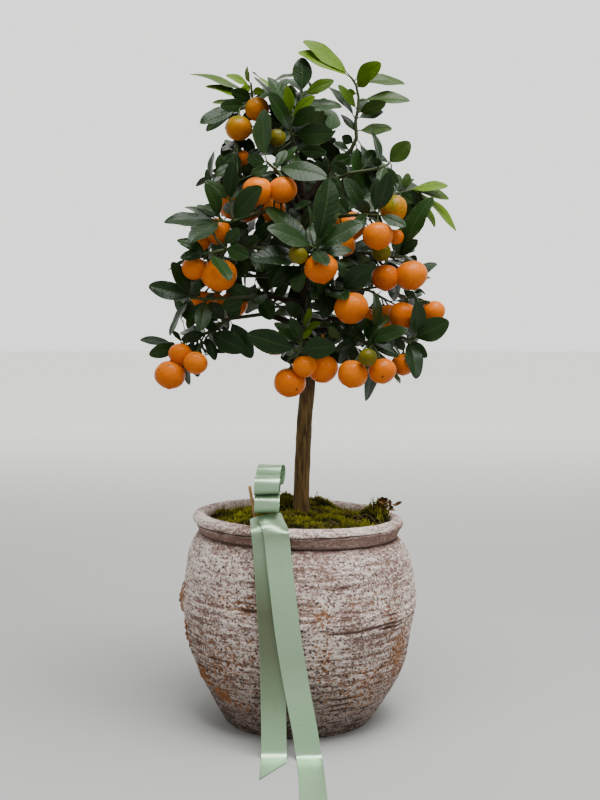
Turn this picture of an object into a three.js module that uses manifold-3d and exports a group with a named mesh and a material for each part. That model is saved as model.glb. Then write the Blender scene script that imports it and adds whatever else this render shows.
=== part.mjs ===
// A citrus bonsai: a small orange tree grown as a standard, in a thrown and whitewashed
// terracotta pot, with moss over its soil and a satin ribbon bow on a wooden pick.
// Millimetres, +Z up. The origin is the centre of the pot's flat underside, +X is the
// right of the front view and the front view looks along +Y.
import * as THREE from 'three';
import { mergeVertices } from 'three/addons/utils/BufferGeometryUtils.js';
import Module from 'manifold-3d';

const wasm = await Module();
wasm.setup();

// Driving dimensions
const GAP = 0.3;                 // between pieces that touch
const SMOOTHING = 0.12;          // flatter bends than this are left out where pieces are joined
const POT_FOOT_RADIUS = 79;
const POT_BELLY_RADIUS = 127;
const POT_BELLY_HEIGHT = 127;
const POT_NECK_RADIUS = 107.5;
const POT_NECK_HEIGHT = 203;
const POT_LIP_RADIUS = 114;
const POT_HEIGHT = 224;
const POT_WALL = 11;
const POT_MOUTH_RADIUS = POT_NECK_RADIUS - POT_WALL + 3;
const POT_FLOOR = 14;
const POT_SIDES = 28;
const LEAN = 0.00015;            // the hand thrown pot is a little lower on its right
const SOIL_TOP = 206;
const SOIL_RADIUS = POT_MOUTH_RADIUS - 3.5;
const MOSS_FOOT_RADIUS = 93.5;
const MOSS_EDGE_HEIGHT = 214;
const MOSS_DOME = 9;             // rise from the edge to the middle
const MOSS_SIDES = 24;
const TRUNK_RADIUS = 8.6;
const TRUNK_TOP_RADIUS = 3.4;
const TRUNK_TAPER_START = 6;     // point of the stem's path below which it keeps its thickness
const TRUNK_SIDES = 7;
const TRUNK_STEPS = 10;
const HOLE_SPACE = 0.4;          // round the stem and the pick in moss and soil
const TRUNK_ROOT_HEIGHT = 130;   // the stem's lower end, inside the soil
const LIMB_RADIUS = 4.2;
const TWIG_RADIUS = 2.3;
const TWIG_TIP_RADIUS = 1.1;
const SHOOT_RADIUS = 1.5;
const STALK_RADIUS = 0.9;
const STALK_SIDES = 3;
const CALYX_RADIUS = 2.9;
const CALYX_HEIGHT = 1.4;
const BLADE_THICKNESS = 1.3;     // at the midrib
const BLADE_RATIO = 0.43;        // width over length of a leaf seen flat
const BLADE_FOLD = 0.12;         // radians that each half rises from the midrib
const BLADE_ARCH = 0.07;         // rise of the midline over the leaf's length
const PETIOLE = 0.12;            // share of the leaf's length before its blade starts
const ROOT_INSET = 1.2;          // of a leaf or stalk from the end of its shoot
const ROOT_SPACING = 4;          // along the shoot between leaves listed with one root
const FILL_LENGTH = 47;          // leaves that the front view doesn't settle
const FILL_RUN = { along: 0.5, away: 0.8, outward: 0.3 };   // mix of directions they grow in
const GOLDEN_ANGLE = 2.39996;
const FRUIT_FLATNESS = 0.9;      // height over width
const FRUIT_SWELL = 1.02;        // of the faceted fruit over the round one
const FRUIT_TOUCH = 0.85;        // distance of touching fruits over the sum of their radii
const REAR_FRUIT_RADIUS = 16;
const PICK_RADIUS = 1.6;
const PICK_SIDES = 6;
const RIBBON_WIDTH = 25;
const RIBBON_THICKNESS = 0.7;

// The front view that the plant's outline was measured in: columns and rows of a picture
// 600 wide and 800 high, and millimetres in front of or behind the stem.
const VIEW = {
  focal: 1110,
  column: 300,
  row: 400,
  distance: 1208,
  height: 413,
  aside: 2.2,
  pitch: THREE.MathUtils.degToRad(3.1),
};
const EYE = new THREE.Vector3(VIEW.aside, -VIEW.distance, VIEW.height);

// The point that the front view shows at a column and row, at a given depth
function place(column, row, depth) {
  const right = (column - VIEW.column) / VIEW.focal;
  const down = (row - VIEW.row) / VIEW.focal;
  const ray = new THREE.Vector3(
    right,
    Math.cos(VIEW.pitch) - down * Math.sin(VIEW.pitch),
    -Math.sin(VIEW.pitch) - down * Math.cos(VIEW.pitch),
  );
  return EYE.clone().addScaledVector(ray, (depth + VIEW.distance) / ray.y);
}

// The column and row at which the front view shows a point
function seen(point) {
  const ahead = point.y - EYE.y;
  const above = point.z - EYE.z;
  const range = ahead * Math.cos(VIEW.pitch) - above * Math.sin(VIEW.pitch);
  const rise = ahead * Math.sin(VIEW.pitch) + above * Math.cos(VIEW.pitch);
  return [
    VIEW.column + (VIEW.focal * (point.x - EYE.x)) / range,
    VIEW.row - (VIEW.focal * rise) / range,
  ];
}

// The belly of the pot as radius and height, from its foot to its neck
const BELLY_PROFILE = [
  [POT_FOOT_RADIUS, 0], [101, 33], [117.5, 74], [POT_BELLY_RADIUS, POT_BELLY_HEIGHT], [121.5, 176],
  [POT_NECK_RADIUS, POT_NECK_HEIGHT],
];

// The rolled lip, from the outside over its crest to the mouth
const LIP_PROFILE = [
  [POT_NECK_RADIUS + 1.5, POT_NECK_HEIGHT + 6], [POT_LIP_RADIUS, POT_HEIGHT - 8],
  [POT_LIP_RADIUS - 0.8, POT_HEIGHT - 3], [POT_LIP_RADIUS - 6, POT_HEIGHT],
  [POT_MOUTH_RADIUS + 1.5, POT_HEIGHT - 3], [POT_MOUTH_RADIUS, POT_HEIGHT - 12],
];

// Radii of the moss's rings of points, and its humps as x, y, rise and spread: the mound behind
// the stem, the tuft at the right and a low one in front
const MOSS_RINGS = [95.5, 86, 68, 48, 26];
const MOSS_HUMPS = [[-14, 44, 17, 26], [84, 2, 17, 17], [-60, -42, 3, 20]];

// Millimetres that a length of one row or column has at a depth
const pixelSize = (depth) => (depth + VIEW.distance) / VIEW.focal;

// Evenly spaced values from one to another
function steps(from, to, count) {
  return Array.from({ length: count + 1 }, (_, i) => from + ((to - from) * i) / count);
}

// Repeatable random numbers from 0 to 1
function randomFrom(seed) {
  let state = seed;
  return () => {
    state = (state + 0x6d2b79f5) | 0;
    let mixed = Math.imul(state ^ (state >>> 15), 1 | state);
    mixed = (mixed + Math.imul(mixed ^ (mixed >>> 7), 61 | mixed)) ^ mixed;
    return ((mixed ^ (mixed >>> 14)) >>> 0) / 4294967296;
  };
}

// Solids: three.js geometry to a closed solid and back
function toSolid(geometry) {
  const bare = geometry.clone();
  bare.deleteAttribute('normal');
  bare.deleteAttribute('uv');
  const merged = mergeVertices(bare, 1e-4);
  return new wasm.Manifold(new wasm.Mesh({
    numProp: 3,
    vertProperties: new Float32Array(merged.attributes.position.array),
    triVerts: new Uint32Array(merged.index.array),
  }));
}

function toGeometry(solid) {
  const mesh = solid.getMesh();
  const geometry = new THREE.BufferGeometry();
  geometry.setAttribute('position', new THREE.BufferAttribute(new Float32Array(mesh.vertProperties), 3));
  geometry.setIndex(new THREE.BufferAttribute(new Uint32Array(mesh.triVerts), 1));
  geometry.computeVertexNormals();
  return geometry;
}

// Every vertex of a geometry moved by a function of its place
function reshape(geometry, move) {
  const position = geometry.attributes.position;
  for (let i = 0; i < position.count; i += 1) {
    const point = move(new THREE.Vector3().fromBufferAttribute(position, i));
    position.setXYZ(i, point.x, point.y, point.z);
  }
  return geometry;
}

// A closed solid through rings of points, anticlockwise seen from its far end. Points of a
// ring may coincide, where it narrows to an edge or to a tip.
function loft(rings) {
  const corners = rings[0].length;
  const last = (rings.length - 1) * corners;
  const index = [];
  for (let k = 1; k < corners - 1; k += 1) index.push(0, k + 1, k, last, last + k, last + k + 1);
  rings.slice(1).forEach((_, ring) => {
    for (let k = 0; k < corners; k += 1) {
      const a = ring * corners + k;
      const b = ring * corners + ((k + 1) % corners);
      index.push(a, b, b + corners, a, b + corners, a + corners);
    }
  });
  const geometry = new THREE.BufferGeometry().setFromPoints(rings.flat());
  geometry.setIndex(index);
  return toSolid(geometry);
}

// A smooth curve through points, at 0 for the first and points.length - 1 for the last
function onCurve(points, at) {
  const last = points.length - 1;
  const step = Math.min(Math.max(Math.floor(at), 0), last - 1);
  const f = at - step;
  const from = points[step];
  const to = points[step + 1];
  const before = step > 0 ? points[step - 1] : from.clone().multiplyScalar(2).sub(to);
  const after = step + 2 <= last ? points[step + 2] : to.clone().multiplyScalar(2).sub(from);
  return new THREE.Vector3()
    .addScaledVector(before, 0.5 * (-f + 2 * f * f - f * f * f))
    .addScaledVector(from, 0.5 * (2 - 5 * f * f + 3 * f * f * f))
    .addScaledVector(to, 0.5 * (f + 4 * f * f - 3 * f * f * f))
    .addScaledVector(after, 0.5 * (-f * f + f * f * f));
}

// The same along straight pieces, which is where a faceted twig's axis lies
function onTwig(points, at) {
  const step = Math.min(Math.max(Math.floor(at), 0), points.length - 2);
  return points[step].clone().lerp(points[step + 1], at - step);
}

function curveDirection(points, at) {
  const last = points.length - 1;
  const a = onCurve(points, Math.max(at - 0.02, 0));
  const b = onCurve(points, Math.min(at + 0.02, last));
  return b.sub(a).normalize();
}

// A round rod through centres, each with its direction and radius
function rod(centres, sides) {
  let across = new THREE.Vector3(0.31, 0.87, 0.38);
  return loft(centres.map(({ centre, along, radius }) => {
    across = across.clone().addScaledVector(along, -across.dot(along)).normalize();
    return steps(0, 1, sides).slice(0, -1).map((turn) => (
      centre.clone().addScaledVector(across.clone().applyAxisAngle(along, turn * 2 * Math.PI), radius)
    ));
  }));
}

// A tapering stem along part of a curve
function stem(points, from, to, radiusFrom, radiusTo, sides, count, trim = 0) {
  return rod(steps(0, 1, count).map((share) => {
    const at = from + (to - from) * share;
    const along = curveDirection(points, at);
    const centre = onCurve(points, at).addScaledVector(along, share === 0 ? trim : 0);
    return { centre, along, radius: radiusFrom + (radiusTo - radiusFrom) * share };
  }), sides);
}

// Leaves. A leaf is its root, its tip, its width and the direction that its face looks in.
const SKYWARD = { aside: 0.3, back: 0.1 };   // lean of the faces, away from the stem

function faceOf(root, tip, seenWidth, trueWidth) {
  const along = tip.clone().sub(root).normalize();
  const middle = root.clone().lerp(tip, 0.5);
  const lift = new THREE.Vector3(Math.sign(middle.x) * SKYWARD.aside, SKYWARD.back, 1).normalize();
  const square = (v) => v.clone().addScaledVector(along, -v.dot(along));
  const facing = square(EYE.clone().sub(middle).normalize());
  const seenAtItsEnd = facing.length() < 0.25;
  if (seenAtItsEnd) return square(lift).normalize();
  facing.normalize();
  const turned = along.clone().cross(facing);
  if (turned.dot(lift) < 0) turned.negate();
  const roll = Math.acos(Math.min(1, seenWidth / trueWidth));
  return facing.multiplyScalar(Math.cos(roll)).addScaledVector(turned, Math.sin(roll)).normalize();
}

function seenLeaf(root, tip, seenPixels) {
  const seenWidth = seenPixels * pixelSize((root.y + tip.y) / 2);
  const trueWidth = Math.max(seenWidth, BLADE_RATIO * root.distanceTo(tip));
  return { root, tip, width: trueWidth, face: faceOf(root, tip, seenWidth, trueWidth) };
}

// Half the width of a blade at a share of the leaf's length
function halfWidth(width, share) {
  if (share <= PETIOLE) return 0;
  const along = ((share - PETIOLE) / (1 - PETIOLE)) ** 0.9;
  return 0.5 * width * Math.sin(Math.PI * Math.min(along, 1)) ** 0.75;
}

// A point of a leaf's middle surface, side from -1 to 1
function onLeaf(leaf, share, side, spare = 0) {
  const run = leaf.tip.clone().sub(leaf.root);
  const length = run.length();
  const along = run.clone().normalize();
  const across = along.clone().cross(leaf.face);
  const half = halfWidth(leaf.width, share) + spare;
  return leaf.root.clone()
    .addScaledVector(run, share)
    .addScaledVector(leaf.face, BLADE_ARCH * length * 4 * share * (1 - share))
    .addScaledVector(across, side * half * Math.cos(BLADE_FOLD))
    .addScaledVector(leaf.face, Math.abs(side) * half * Math.sin(BLADE_FOLD));
}

const LEAF_STATIONS = [0.4, 0.74];

// A blade with a flat face and a keel: an edge as its root, two sections and a tip. The outer
// part of it starts at the first section.
function leafSolid(leaf, spare = 0, outer = false) {
  const along = leaf.tip.clone().sub(leaf.root).normalize();
  const deep = BLADE_THICKNESS / 2 + spare;
  const raised = (point, by) => point.clone().addScaledVector(leaf.face, by);
  const rings = LEAF_STATIONS.map((share) => [
    onLeaf(leaf, share, 1, spare),
    raised(onLeaf(leaf, share, 0), -deep),
    onLeaf(leaf, share, -1, spare),
  ]);
  if (!outer) rings.unshift([raised(leaf.root, deep), raised(leaf.root, -deep), raised(leaf.root, deep)]);
  const tip = leaf.tip.clone().addScaledVector(along, spare);
  return loft([...rings, [tip, tip, tip]]);
}

// The tree. Depths are in millimetres, in front of the stem (-) or behind it (+).
// shoots: the first starts at the limb, the others at the nearest place of the first.
// leaves: root column and row, tip column and row, tip depth from the root, width seen.
// fruits: column, row, depth, radius; a bunch is a list of fruits that touch.
const SPRAYS = [
  {
    name: 'top_right', stemRow: 205, fill: 1, young: true,
    shoots: [[
      [330, 168, -6], [351, 150, -12], [356.5, 138, -15], [355.5, 121, -15], [358, 109, -15],
      [358.5, 97, -15], [356, 85, -15], [351, 77, -15],
    ]],
    leaves: [
      [350, 76, 303, 41, -10, 17], [351, 79, 298, 52.5, -20, 16], [353, 80, 381, 63, -20, 22],
      [357, 87, 371, 72, -32, 15], [356, 82, 405, 84, 12, 11], [358.5, 100, 410, 101, -5, 12],
      [358, 112, 386, 102.5, -12, 15], [357, 118, 383, 111.5, 10, 10], [356, 130, 392, 129, -8, 12],
      [356, 133, 341, 114.5, 12, 7], [355.5, 119, 328, 87, 8, 8], [357, 110, 338, 85, -10, 10],
      [356.5, 141, 362, 197, -26, 20], [357, 137, 379, 193, -6, 14],
    ],
  },
  {
    name: 'top_centre', stemRow: 198, fill: 1,
    shoots: [
      [[299, 162, -8], [294, 144, -24], [290, 129, -34], [291, 114, -38]],
      [[293, 125, -36], [299, 108, -32], [303, 93, -28]],
    ],
    leaves: [
      [303, 94, 302, 57.5, 5, 20], [303, 95, 334, 80.5, -8, 14], [291, 114, 287, 86, -16, 14],
      [291, 114, 315, 96, -14, 13], [290, 130, 254, 77, -6, 7], [291, 118, 268, 77, 12, 13],
      [290, 124, 253, 73, 18, 10], [290, 130, 267, 93, -14, 15], [299, 110, 342, 106.5, 8, 12],
      [291, 128, 315, 107, -14, 15], [293, 134, 334, 133, -16, 22], [296, 148, 327, 153, -6, 14],
      [297, 152, 292, 170, -20, 12],
    ],
    fruits: [[[277, 138, -54, 9.2, 'olive']]],
  },
  {
    name: 'top_left', stemRow: 190, fill: 1,
    shoots: [
      [[283, 160, -10], [267, 138, -10], [257, 114, -2], [252, 96, 0], [251, 83, 0]],
      [[256, 109, -6], [247, 105, -14], [239, 109, -20]],
    ],
    leaves: [
      [252, 94, 190, 74.5, -4, 6], [252, 100, 205.5, 86.5, -10, 9], [244, 106, 212, 103, 6, 6],
      [252, 86, 226, 75, -6, 9],
      [252, 94, 231, 91, -20, 14], [247, 106, 220, 106, -8, 14],
      [239, 109, 200, 123.5, -12, 14], [240, 109, 206, 131, 8, 11],
    ],
    fruits: [[[238.6, 128, -26, 13.3, 'ripening']], [[257, 109, -27, 12, 'ripening']]],
  },
  {
    name: 'left_upper', stemRow: 228, fill: 1,
    shoots: [
      [[272, 209, -26], [250, 216, -46], [230, 222, -60], [218, 221, -58]],
      [[232, 220, -58], [230, 200, -54], [237, 178, -40], [238, 158, -32], [236, 143, -28]],
      [[222, 222, -58], [213, 205, -46], [211, 186, -40]],
    ],
    leaves: [
      [211, 187, 214, 151, 5, 6], [237, 152, 222, 165, -8, 11],
      [237, 146, 241, 178, -14, 9], [237, 164, 215, 176, -10, 10], [230, 202, 234, 161, -18, 16],
      [230, 200, 205, 181, -10, 12], [219, 221, 205, 183, -18, 14], [230, 222, 262, 187, -38, 22],
      [221, 221, 164, 222.5, 0, 14], [218, 221, 184.5, 207, 16, 8],
      [220, 221, 190, 243, -10, 16],
    ],
    fruits: [[[241, 158, -12, 8.5, 'ripe']]],
  },
  {
    name: 'upper_front', stemRow: 212, fill: 1,
    shoots: [[[292, 186, -40], [277, 171, -74], [266, 161, -84]]],
    leaves: [
      [272, 168, 327, 178, -16, 19], [266, 161, 263, 110, 26, 20], [267, 162, 247, 158, -4, 13],
      [279, 174, 297, 146, 16, 9],
    ],
    fruits: [[[283, 189.5, -77, 14, 'ripe'], [256.5, 191, -78, 15, 'ripe']]],
  },
  {
    name: 'left_middle', stemRow: 262, fill: 1,
    shoots: [
      [[268, 249, -34], [240, 247, -60], [218, 251, -74], [204, 254, -76]],
      [[226, 249, -68], [216, 239, -74], [212, 228, -74]],
    ],
    leaves: [
      [206, 253, 177, 240, 0, 10], [206, 254, 180, 258, -6, 11], [209, 253, 229, 281, -30, 13],
      [223, 248, 249, 257, -16, 17], [221, 246, 239, 228, -6, 12], [240, 248, 258, 236, -12, 12],
      [252, 249, 262, 272, -14, 13],
    ],
    fruits: [
      [[217, 231, -38, 13.5, 'ripe'], [199, 243, -42, 9, 'ripe']],
      [[194, 268, -58, 12.4, 'ripe'], [220, 275, -69, 18, 'ripe']],
    ],
  },
  {
    name: 'left_lower', stemRow: 305, fill: 1,
    shoots: [[[268, 296, -26], [230, 298, -44], [206, 299, -50], [190, 298, -46]]],
    leaves: [
      [190, 298, 172, 262, -6, 16], [190, 298, 148.5, 286, -4, 19],
      [191, 298, 170, 336, -2, 7], [206, 299, 187, 328, 4, 13], [205, 299, 200, 331, -20, 17],
      [246, 297, 222, 308, -8, 16], [254, 296, 226, 287, -12, 15], [266, 296, 271, 320, -16, 18],
    ],
  },
  {
    name: 'lower_left', stemRow: 328, fill: 1,
    shoots: [[[264, 314, -14], [228, 319, -26], [207, 333, -32], [186, 342, -24], [174, 347, -22]]],
    leaves: [
      [206, 333, 181, 340, -10, 12],
      [175, 347, 140, 340, 2, 9], [175, 347, 149, 355, -10, 15], [203, 336, 215, 360.5, -10, 11],
      [196, 339, 183, 368, -8, 11], [186, 342, 189, 385, 16, 10], [199, 338, 197, 377, 14, 14],
      [208, 333, 245, 351, -18, 23], [228, 319, 252, 358, -6, 20], [224, 321, 209, 303, -8, 16],
      [226, 320, 239, 304, -6, 15],
    ],
    fruits: [
      [[170, 375, -50, 15.6, 'ripe'], [181, 354, -46, 12, 'ripe'], [196.5, 362.6, -52, 12.2, 'ripe']],
    ],
  },
  {
    name: 'lower_centre', stemRow: 312, fill: 1,
    shoots: [[[306, 314, -40], [304, 329, -64], [301, 344, -77], [297, 356, -79]]],
    leaves: [
      [299, 352, 247, 334, -12, 25], [301, 344, 290, 318, -14, 12], [300, 346, 274, 323, -4, 12],
      [299, 350, 336, 347, -18, 23],
      [305, 320, 286, 302, -12, 14],
    ],
    fruits: [[[304.5, 366, -72, 12.2, 'ripe'], [289.6, 382, -58, 16, 'ripe'],
      [322.8, 368.7, -53, 15, 'ripe']]],
  },
  {
    name: 'centre', stemRow: 276, fill: 1,
    shoots: [[[307, 266, -48], [311, 257, -88], [315, 248, -114]]],
    leaves: [
      [314, 248, 267, 228, -14, 18], [315, 248, 329, 178, 2, 27], [312, 254, 266, 207, 16, 18],
      [315, 248, 363, 223, 6, 20], [315, 248, 327, 266, -24, 14], [315, 248, 334, 224, -8, 8],
      [312, 254, 352, 250, 16, 13], [308, 264, 299, 292, -44, 15], [310, 260, 250, 259, -12, 19],
      [308, 264, 272, 286, -14, 16], [309, 262, 330, 285, 10, 16],
    ],
    fruits: [[[298, 255, -118, 9.8, 'olive']], [[321, 267.5, -107, 16.6, 'ripe']]],
  },
  {
    name: 'right_centre', stemRow: 292, fill: 1,
    shoots: [
      [[323, 290, -36], [334, 290, -60], [341, 291, -72]],
      [[331, 290, -54], [334, 270, -62], [333, 254, -66]],
    ],
    leaves: [
      [341, 291, 371, 266, -20, 24], [333, 256, 347, 282, -12, 9],
      [330, 290, 310, 297, -26, 14], [334, 268, 318, 290, -14, 12], [336, 291, 322, 318, -16, 16],
    ],
    fruits: [[[351, 308, -80, 17, 'ripe']]],
  },
  {
    name: 'right_middle', stemRow: 260, fill: 1,
    shoots: [[[336, 252, -24], [368, 253, -36], [392, 257, -44], [403, 257, -46]]],
    leaves: [
      [402, 257, 433, 197, -8, 19], [402, 257, 418, 240, -16, 12], [397, 257, 400, 230, -4, 10],
      [393, 257, 412, 222, 4, 16], [384, 256, 396, 300, 12, 18],
    ],
    fruits: [
      [[411, 275, -48, 16, 'ripe'], [383, 277, -56, 14.2, 'ripe']],
      [[381.5, 252, -62, 9.5, 'olive']],
      [[396.5, 237, -58, 7.5, 'ripe']],
    ],
  },
  {
    name: 'right_upper', stemRow: 234, fill: 1,
    shoots: [[[330, 217, -34], [355, 215, -64], [371, 215, -82], [379, 215, -87]]],
    leaves: [
      [365, 215, 344, 178, -12, 15], [375, 215, 377, 178, -4, 12],
      [378, 215, 389, 172, -14, 18], [379, 215, 406, 227, -14, 12], [369, 215, 352, 229, -16, 13],
      [351, 215, 336, 200, 6, 15],
    ],
    fruits: [
      [[350, 226, -32, 15.5, 'ripe'], [344, 244, -60, 12.5, 'ripe']],
      [[393, 209, -68, 14, 'ripening']],
      [[378, 235.6, -88, 15, 'ripe']],
    ],
  },
  {
    name: 'far_right', stemRow: 222, fill: 1,
    shoots: [[[346, 204, -6], [382, 198, -14], [408, 191, -16], [416, 189, -16]]],
    leaves: [
      [410, 190, 448, 186, -8, 12], [412, 190, 449, 199, -2, 11], [414, 190, 456, 231, 6, 10],
      [413, 190, 435, 227, 18, 10], [406, 192, 408, 173, 2, 10],
      [402, 193, 427, 201, 4, 13], [397, 194, 411, 224, 2, 16],
    ],
  },
  {
    name: 'upper_right', stemRow: 208, fill: 1,
    shoots: [[[326, 183, -26], [350, 173, -40], [376, 169, -42], [389, 164, -38]]],
    leaves: [
      [350, 173, 331, 163, -16, 13], [330, 181, 316, 161, -8, 12], [388, 165, 410, 142, -6, 20],
      [382, 167, 370, 128.5, 6, 7],
      [342, 176, 330, 190, 2, 14], [362, 170, 374, 150, 10, 14],
    ],
  },
  {
    name: 'lower_right', stemRow: 332, fill: 1,
    shoots: [[[336, 330, -28], [360, 340, -56], [374, 347, -66]]],
    leaves: [
      [335, 330, 357, 337, -34, 17], [361, 341, 335, 351, -10, 14],
      [374, 347, 373, 290, 0, 10], [372, 346, 366, 318, -10, 12], [374, 347, 382, 311, 8, 9],
      [374, 347, 390, 319, -8, 9], [374, 347, 408, 330, -10, 15], [374, 347, 399, 357, 6, 12],
      [370, 345, 366, 401, 16, 14], [358, 339, 350, 316, -10, 16],
      [350, 336, 362, 322, 8, 14],
    ],
    fruits: [
      [[352.7, 374, -84, 15, 'ripe']],
      [[382, 370.8, -82, 14, 'ripe']],
      [[368, 357.5, -98, 9.2, 'olive']],
    ],
  },
  {
    name: 'lower_far_right', stemRow: 318, fill: 1,
    shoots: [
      [[342, 319, -10], [378, 328, -22], [402, 338, -34], [413, 340, -36]],
      [[413, 340, -36], [420, 323, -30], [419, 305, -32], [413, 292, -34]],
    ],
    leaves: [
      [412, 340, 417, 301, -34, 16], [413, 340, 449, 321, -14, 24], [413, 340, 427, 357.5, -6, 12],
      [408, 340, 416, 379, -26, 17],
    ],
    fruits: [
      [[403, 315.5, -44, 15, 'ripe']],
      [[433, 312, -22, 12, 'ripe']],
      [[403, 365, -44, 12, 'ripe']],
    ],
  },
];

// Limbs behind the stem, set by rule: degrees from +X, row of the root on the stem, reach
// and rise of the tip from the root, number of leaves, and whether a bunch hangs on it.
const REAR = [
  { name: 'rear_top', azimuth: 75, stemRow: 194, reach: 58, rise: 88, fill: 10, bunch: false },
  { name: 'rear_upper_left', azimuth: 128, stemRow: 218, reach: 104, rise: 42, fill: 10, bunch: true },
  { name: 'rear_upper_right', azimuth: 48, stemRow: 228, reach: 104, rise: 34, fill: 10, bunch: false },
  { name: 'rear_left', azimuth: 148, stemRow: 288, reach: 136, rise: 2, fill: 10, bunch: true },
  { name: 'rear_right', azimuth: 30, stemRow: 298, reach: 132, rise: -4, fill: 10, bunch: true },
  { name: 'rear_low', azimuth: 90, stemRow: 322, reach: 128, rise: -8, fill: 10, bunch: true },
];

const stemPath = [
  new THREE.Vector3(3.8, 0, TRUNK_ROOT_HEIGHT),
  new THREE.Vector3(3.8, 0, 178),
  place(301.5, 514, 0),
  place(301.3, 495, 0),
  place(302.8, 455, 0),
  place(304.7, 418, 0),
  place(307.5, 390, 0),
  place(309, 360, 0),
  place(307, 320, 3),
  place(304, 270, 0),
  place(303, 225, -3),
  place(301, 180, 0),
];

// The place on the stem that the front view shows at a row
function stemAtRow(row) {
  let best = null;
  for (let at = 0; at <= stemPath.length - 1; at += 0.02) {
    const point = onCurve(stemPath, at);
    const miss = Math.abs(seen(point)[1] - row);
    if (!best || miss < best.miss) best = { miss, point };
  }
  return best.point;
}

// The place on some shoots with the least of a measure, searched from `from` along the first
function nearestOn(shoots, measure) {
  let best = null;
  shoots.forEach((shoot, index) => {
    const from = index === 0 ? 1.15 : 0.2;
    const steps = 24 * (shoot.length - 1);
    for (let i = 0; i <= steps; i += 1) {
      const at = (i * (shoot.length - 1)) / steps;
      if (at >= from) {
        const point = onTwig(shoot, at);
        const miss = measure(point);
        if (!best || miss < best.miss) best = { miss, point, index, at };
      }
    }
  });
  return best;
}

// The place for a root at or before one found on the shoots, set back by a length
function rootOn(shoots, near, back) {
  const curve = shoots[near.index];
  const step = Math.max(Math.ceil(near.at), 1);
  const share = back / curve[step - 1].distanceTo(curve[step]);
  return onTwig(curve, Math.max(near.at - share, near.index === 0 ? 1.15 : 0.2));
}

const missInView = (column, row) => (point) => {
  const [u, v] = seen(point);
  return (u - column) ** 2 + (v - row) ** 2;
};

// A spray's shoots in space: the first with the stem's point before its own
function shootCurves(spray) {
  const main = [stemAtRow(spray.stemRow), ...spray.shoots[0].map((p) => place(...p))];
  const sides = spray.shoots.slice(1).map((shoot) => {
    const points = shoot.map((p) => place(...p));
    points[0] = nearestOn([main], missInView(shoot[0][0], shoot[0][1])).point;
    return points;
  });
  return [main, ...sides];
}

SPRAYS.forEach((spray) => {
  spray.curves = shootCurves(spray);
});

const level = (degrees) => {
  const angle = THREE.MathUtils.degToRad(degrees);
  return new THREE.Vector3(Math.cos(angle), Math.sin(angle), 0);
};

// Side shoots of a rear limb: place on it, turn from it in degrees, share of its reach, lift of
// the tip. Fruits of its bunch: distance over touching, turn from the limb, size.
const REAR_SIDES = [[1.4, 48, 0.62, 26], [1.75, -50, 0.6, 4]];
const REAR_BUNCH = [[0, 0, 1], [1, 105, 0.92], [1, -112, 1.06]];
const REAR_BUNCH_PLACE = 2.45;
const REAR_ARCH = 16;
const REAR_SWING = 8;            // degrees that a rear limb turns over its length

// A limb behind the stem and its two side shoots
function rearCurves(limb) {
  const root = stemAtRow(limb.stemRow);
  const rise = (share) => limb.rise * share + REAR_ARCH * Math.sin(Math.PI * share);
  const main = [0, 0.32, 0.66, 1].map((share) => {
    const way = level(limb.azimuth + REAR_SWING * share);
    return root.clone().addScaledVector(way, limb.reach * share).setZ(root.z + rise(share));
  });
  const sides = REAR_SIDES.map(([at, turn, share, lift]) => {
    const start = onTwig(main, at);
    const way = level(limb.azimuth + turn);
    return [0, 0.5, 1].map((k) => {
      const height = start.z + 8 * k + lift * k * k;
      return start.clone().addScaledVector(way, limb.reach * share * k).setZ(height);
    });
  });
  return [main, ...sides];
}

// Three fruits that touch, hanging from the limb
function rearBunch(limb) {
  const hold = onTwig(limb.curves[0], REAR_BUNCH_PLACE);
  const out = level(limb.azimuth);
  const first = hold.clone().addScaledVector(out, 6).add(new THREE.Vector3(0, 0, -REAR_FRUIT_RADIUS - 9));
  return REAR_BUNCH.map(([near, turn, size]) => {
    const radius = REAR_FRUIT_RADIUS * size;
    const gap = near * (REAR_FRUIT_RADIUS + radius) * FRUIT_TOUCH;
    const centre = first.clone().addScaledVector(level(limb.azimuth + turn), gap);
    return { centre, radius, colour: 'ripe', axis: hangAxis(centre, hold), hold };
  });
}

REAR.forEach((limb) => {
  limb.behind = true;
  limb.curves = rearCurves(limb);
  limb.bunches = limb.bunch ? [rearBunch(limb)] : [];
});
const LIMBS = [...SPRAYS, ...REAR];

// What is placed so far, which the pieces of other owners stay clear of
const placed = [];

function keep(owner, solid) {
  placed.push({ owner, solid, box: solid.boundingBox() });
}

function isClear(solid, owner) {
  const box = solid.boundingBox();
  return placed.every((other) => {
    const apart = [0, 1, 2].some((k) => box.min[k] > other.box.max[k] || box.max[k] < other.box.min[k]);
    return other.owner === owner || apart || solid.intersect(other.solid).isEmpty();
  });
}

// The union of some solids in one piece, without the scraps that smoothing leaves
function joined(solids) {
  const parts = wasm.Manifold.union(solids).simplify(SMOOTHING).decompose();
  return parts.reduce((best, solid) => (solid.volume() > best.volume() ? solid : best));
}

// Fruits
function fruitSolid(fruit, spare = 0) {
  const rings = 4;
  const profile = steps(-0.5, 0.5, rings).map((share) => (
    new THREE.Vector2(Math.max(Math.cos(Math.PI * share), 0), FRUIT_FLATNESS * Math.sin(Math.PI * share))
  ));
  profile[0].x = 0;
  profile[rings].x = 0;
  const ball = new THREE.LatheGeometry(profile, 8);
  const turn = new THREE.Quaternion().setFromUnitVectors(new THREE.Vector3(0, 1, 0), fruit.axis);
  const radius = FRUIT_SWELL * fruit.radius + spare;
  return toSolid(reshape(ball, (p) => p.multiplyScalar(radius).applyQuaternion(turn).add(fruit.centre)));
}

// Direction from a fruit's centre to its stalk
function hangAxis(centre, hold) {
  return hold.clone().sub(centre).normalize().add(new THREE.Vector3(0, 0, 0.9)).normalize();
}

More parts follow.
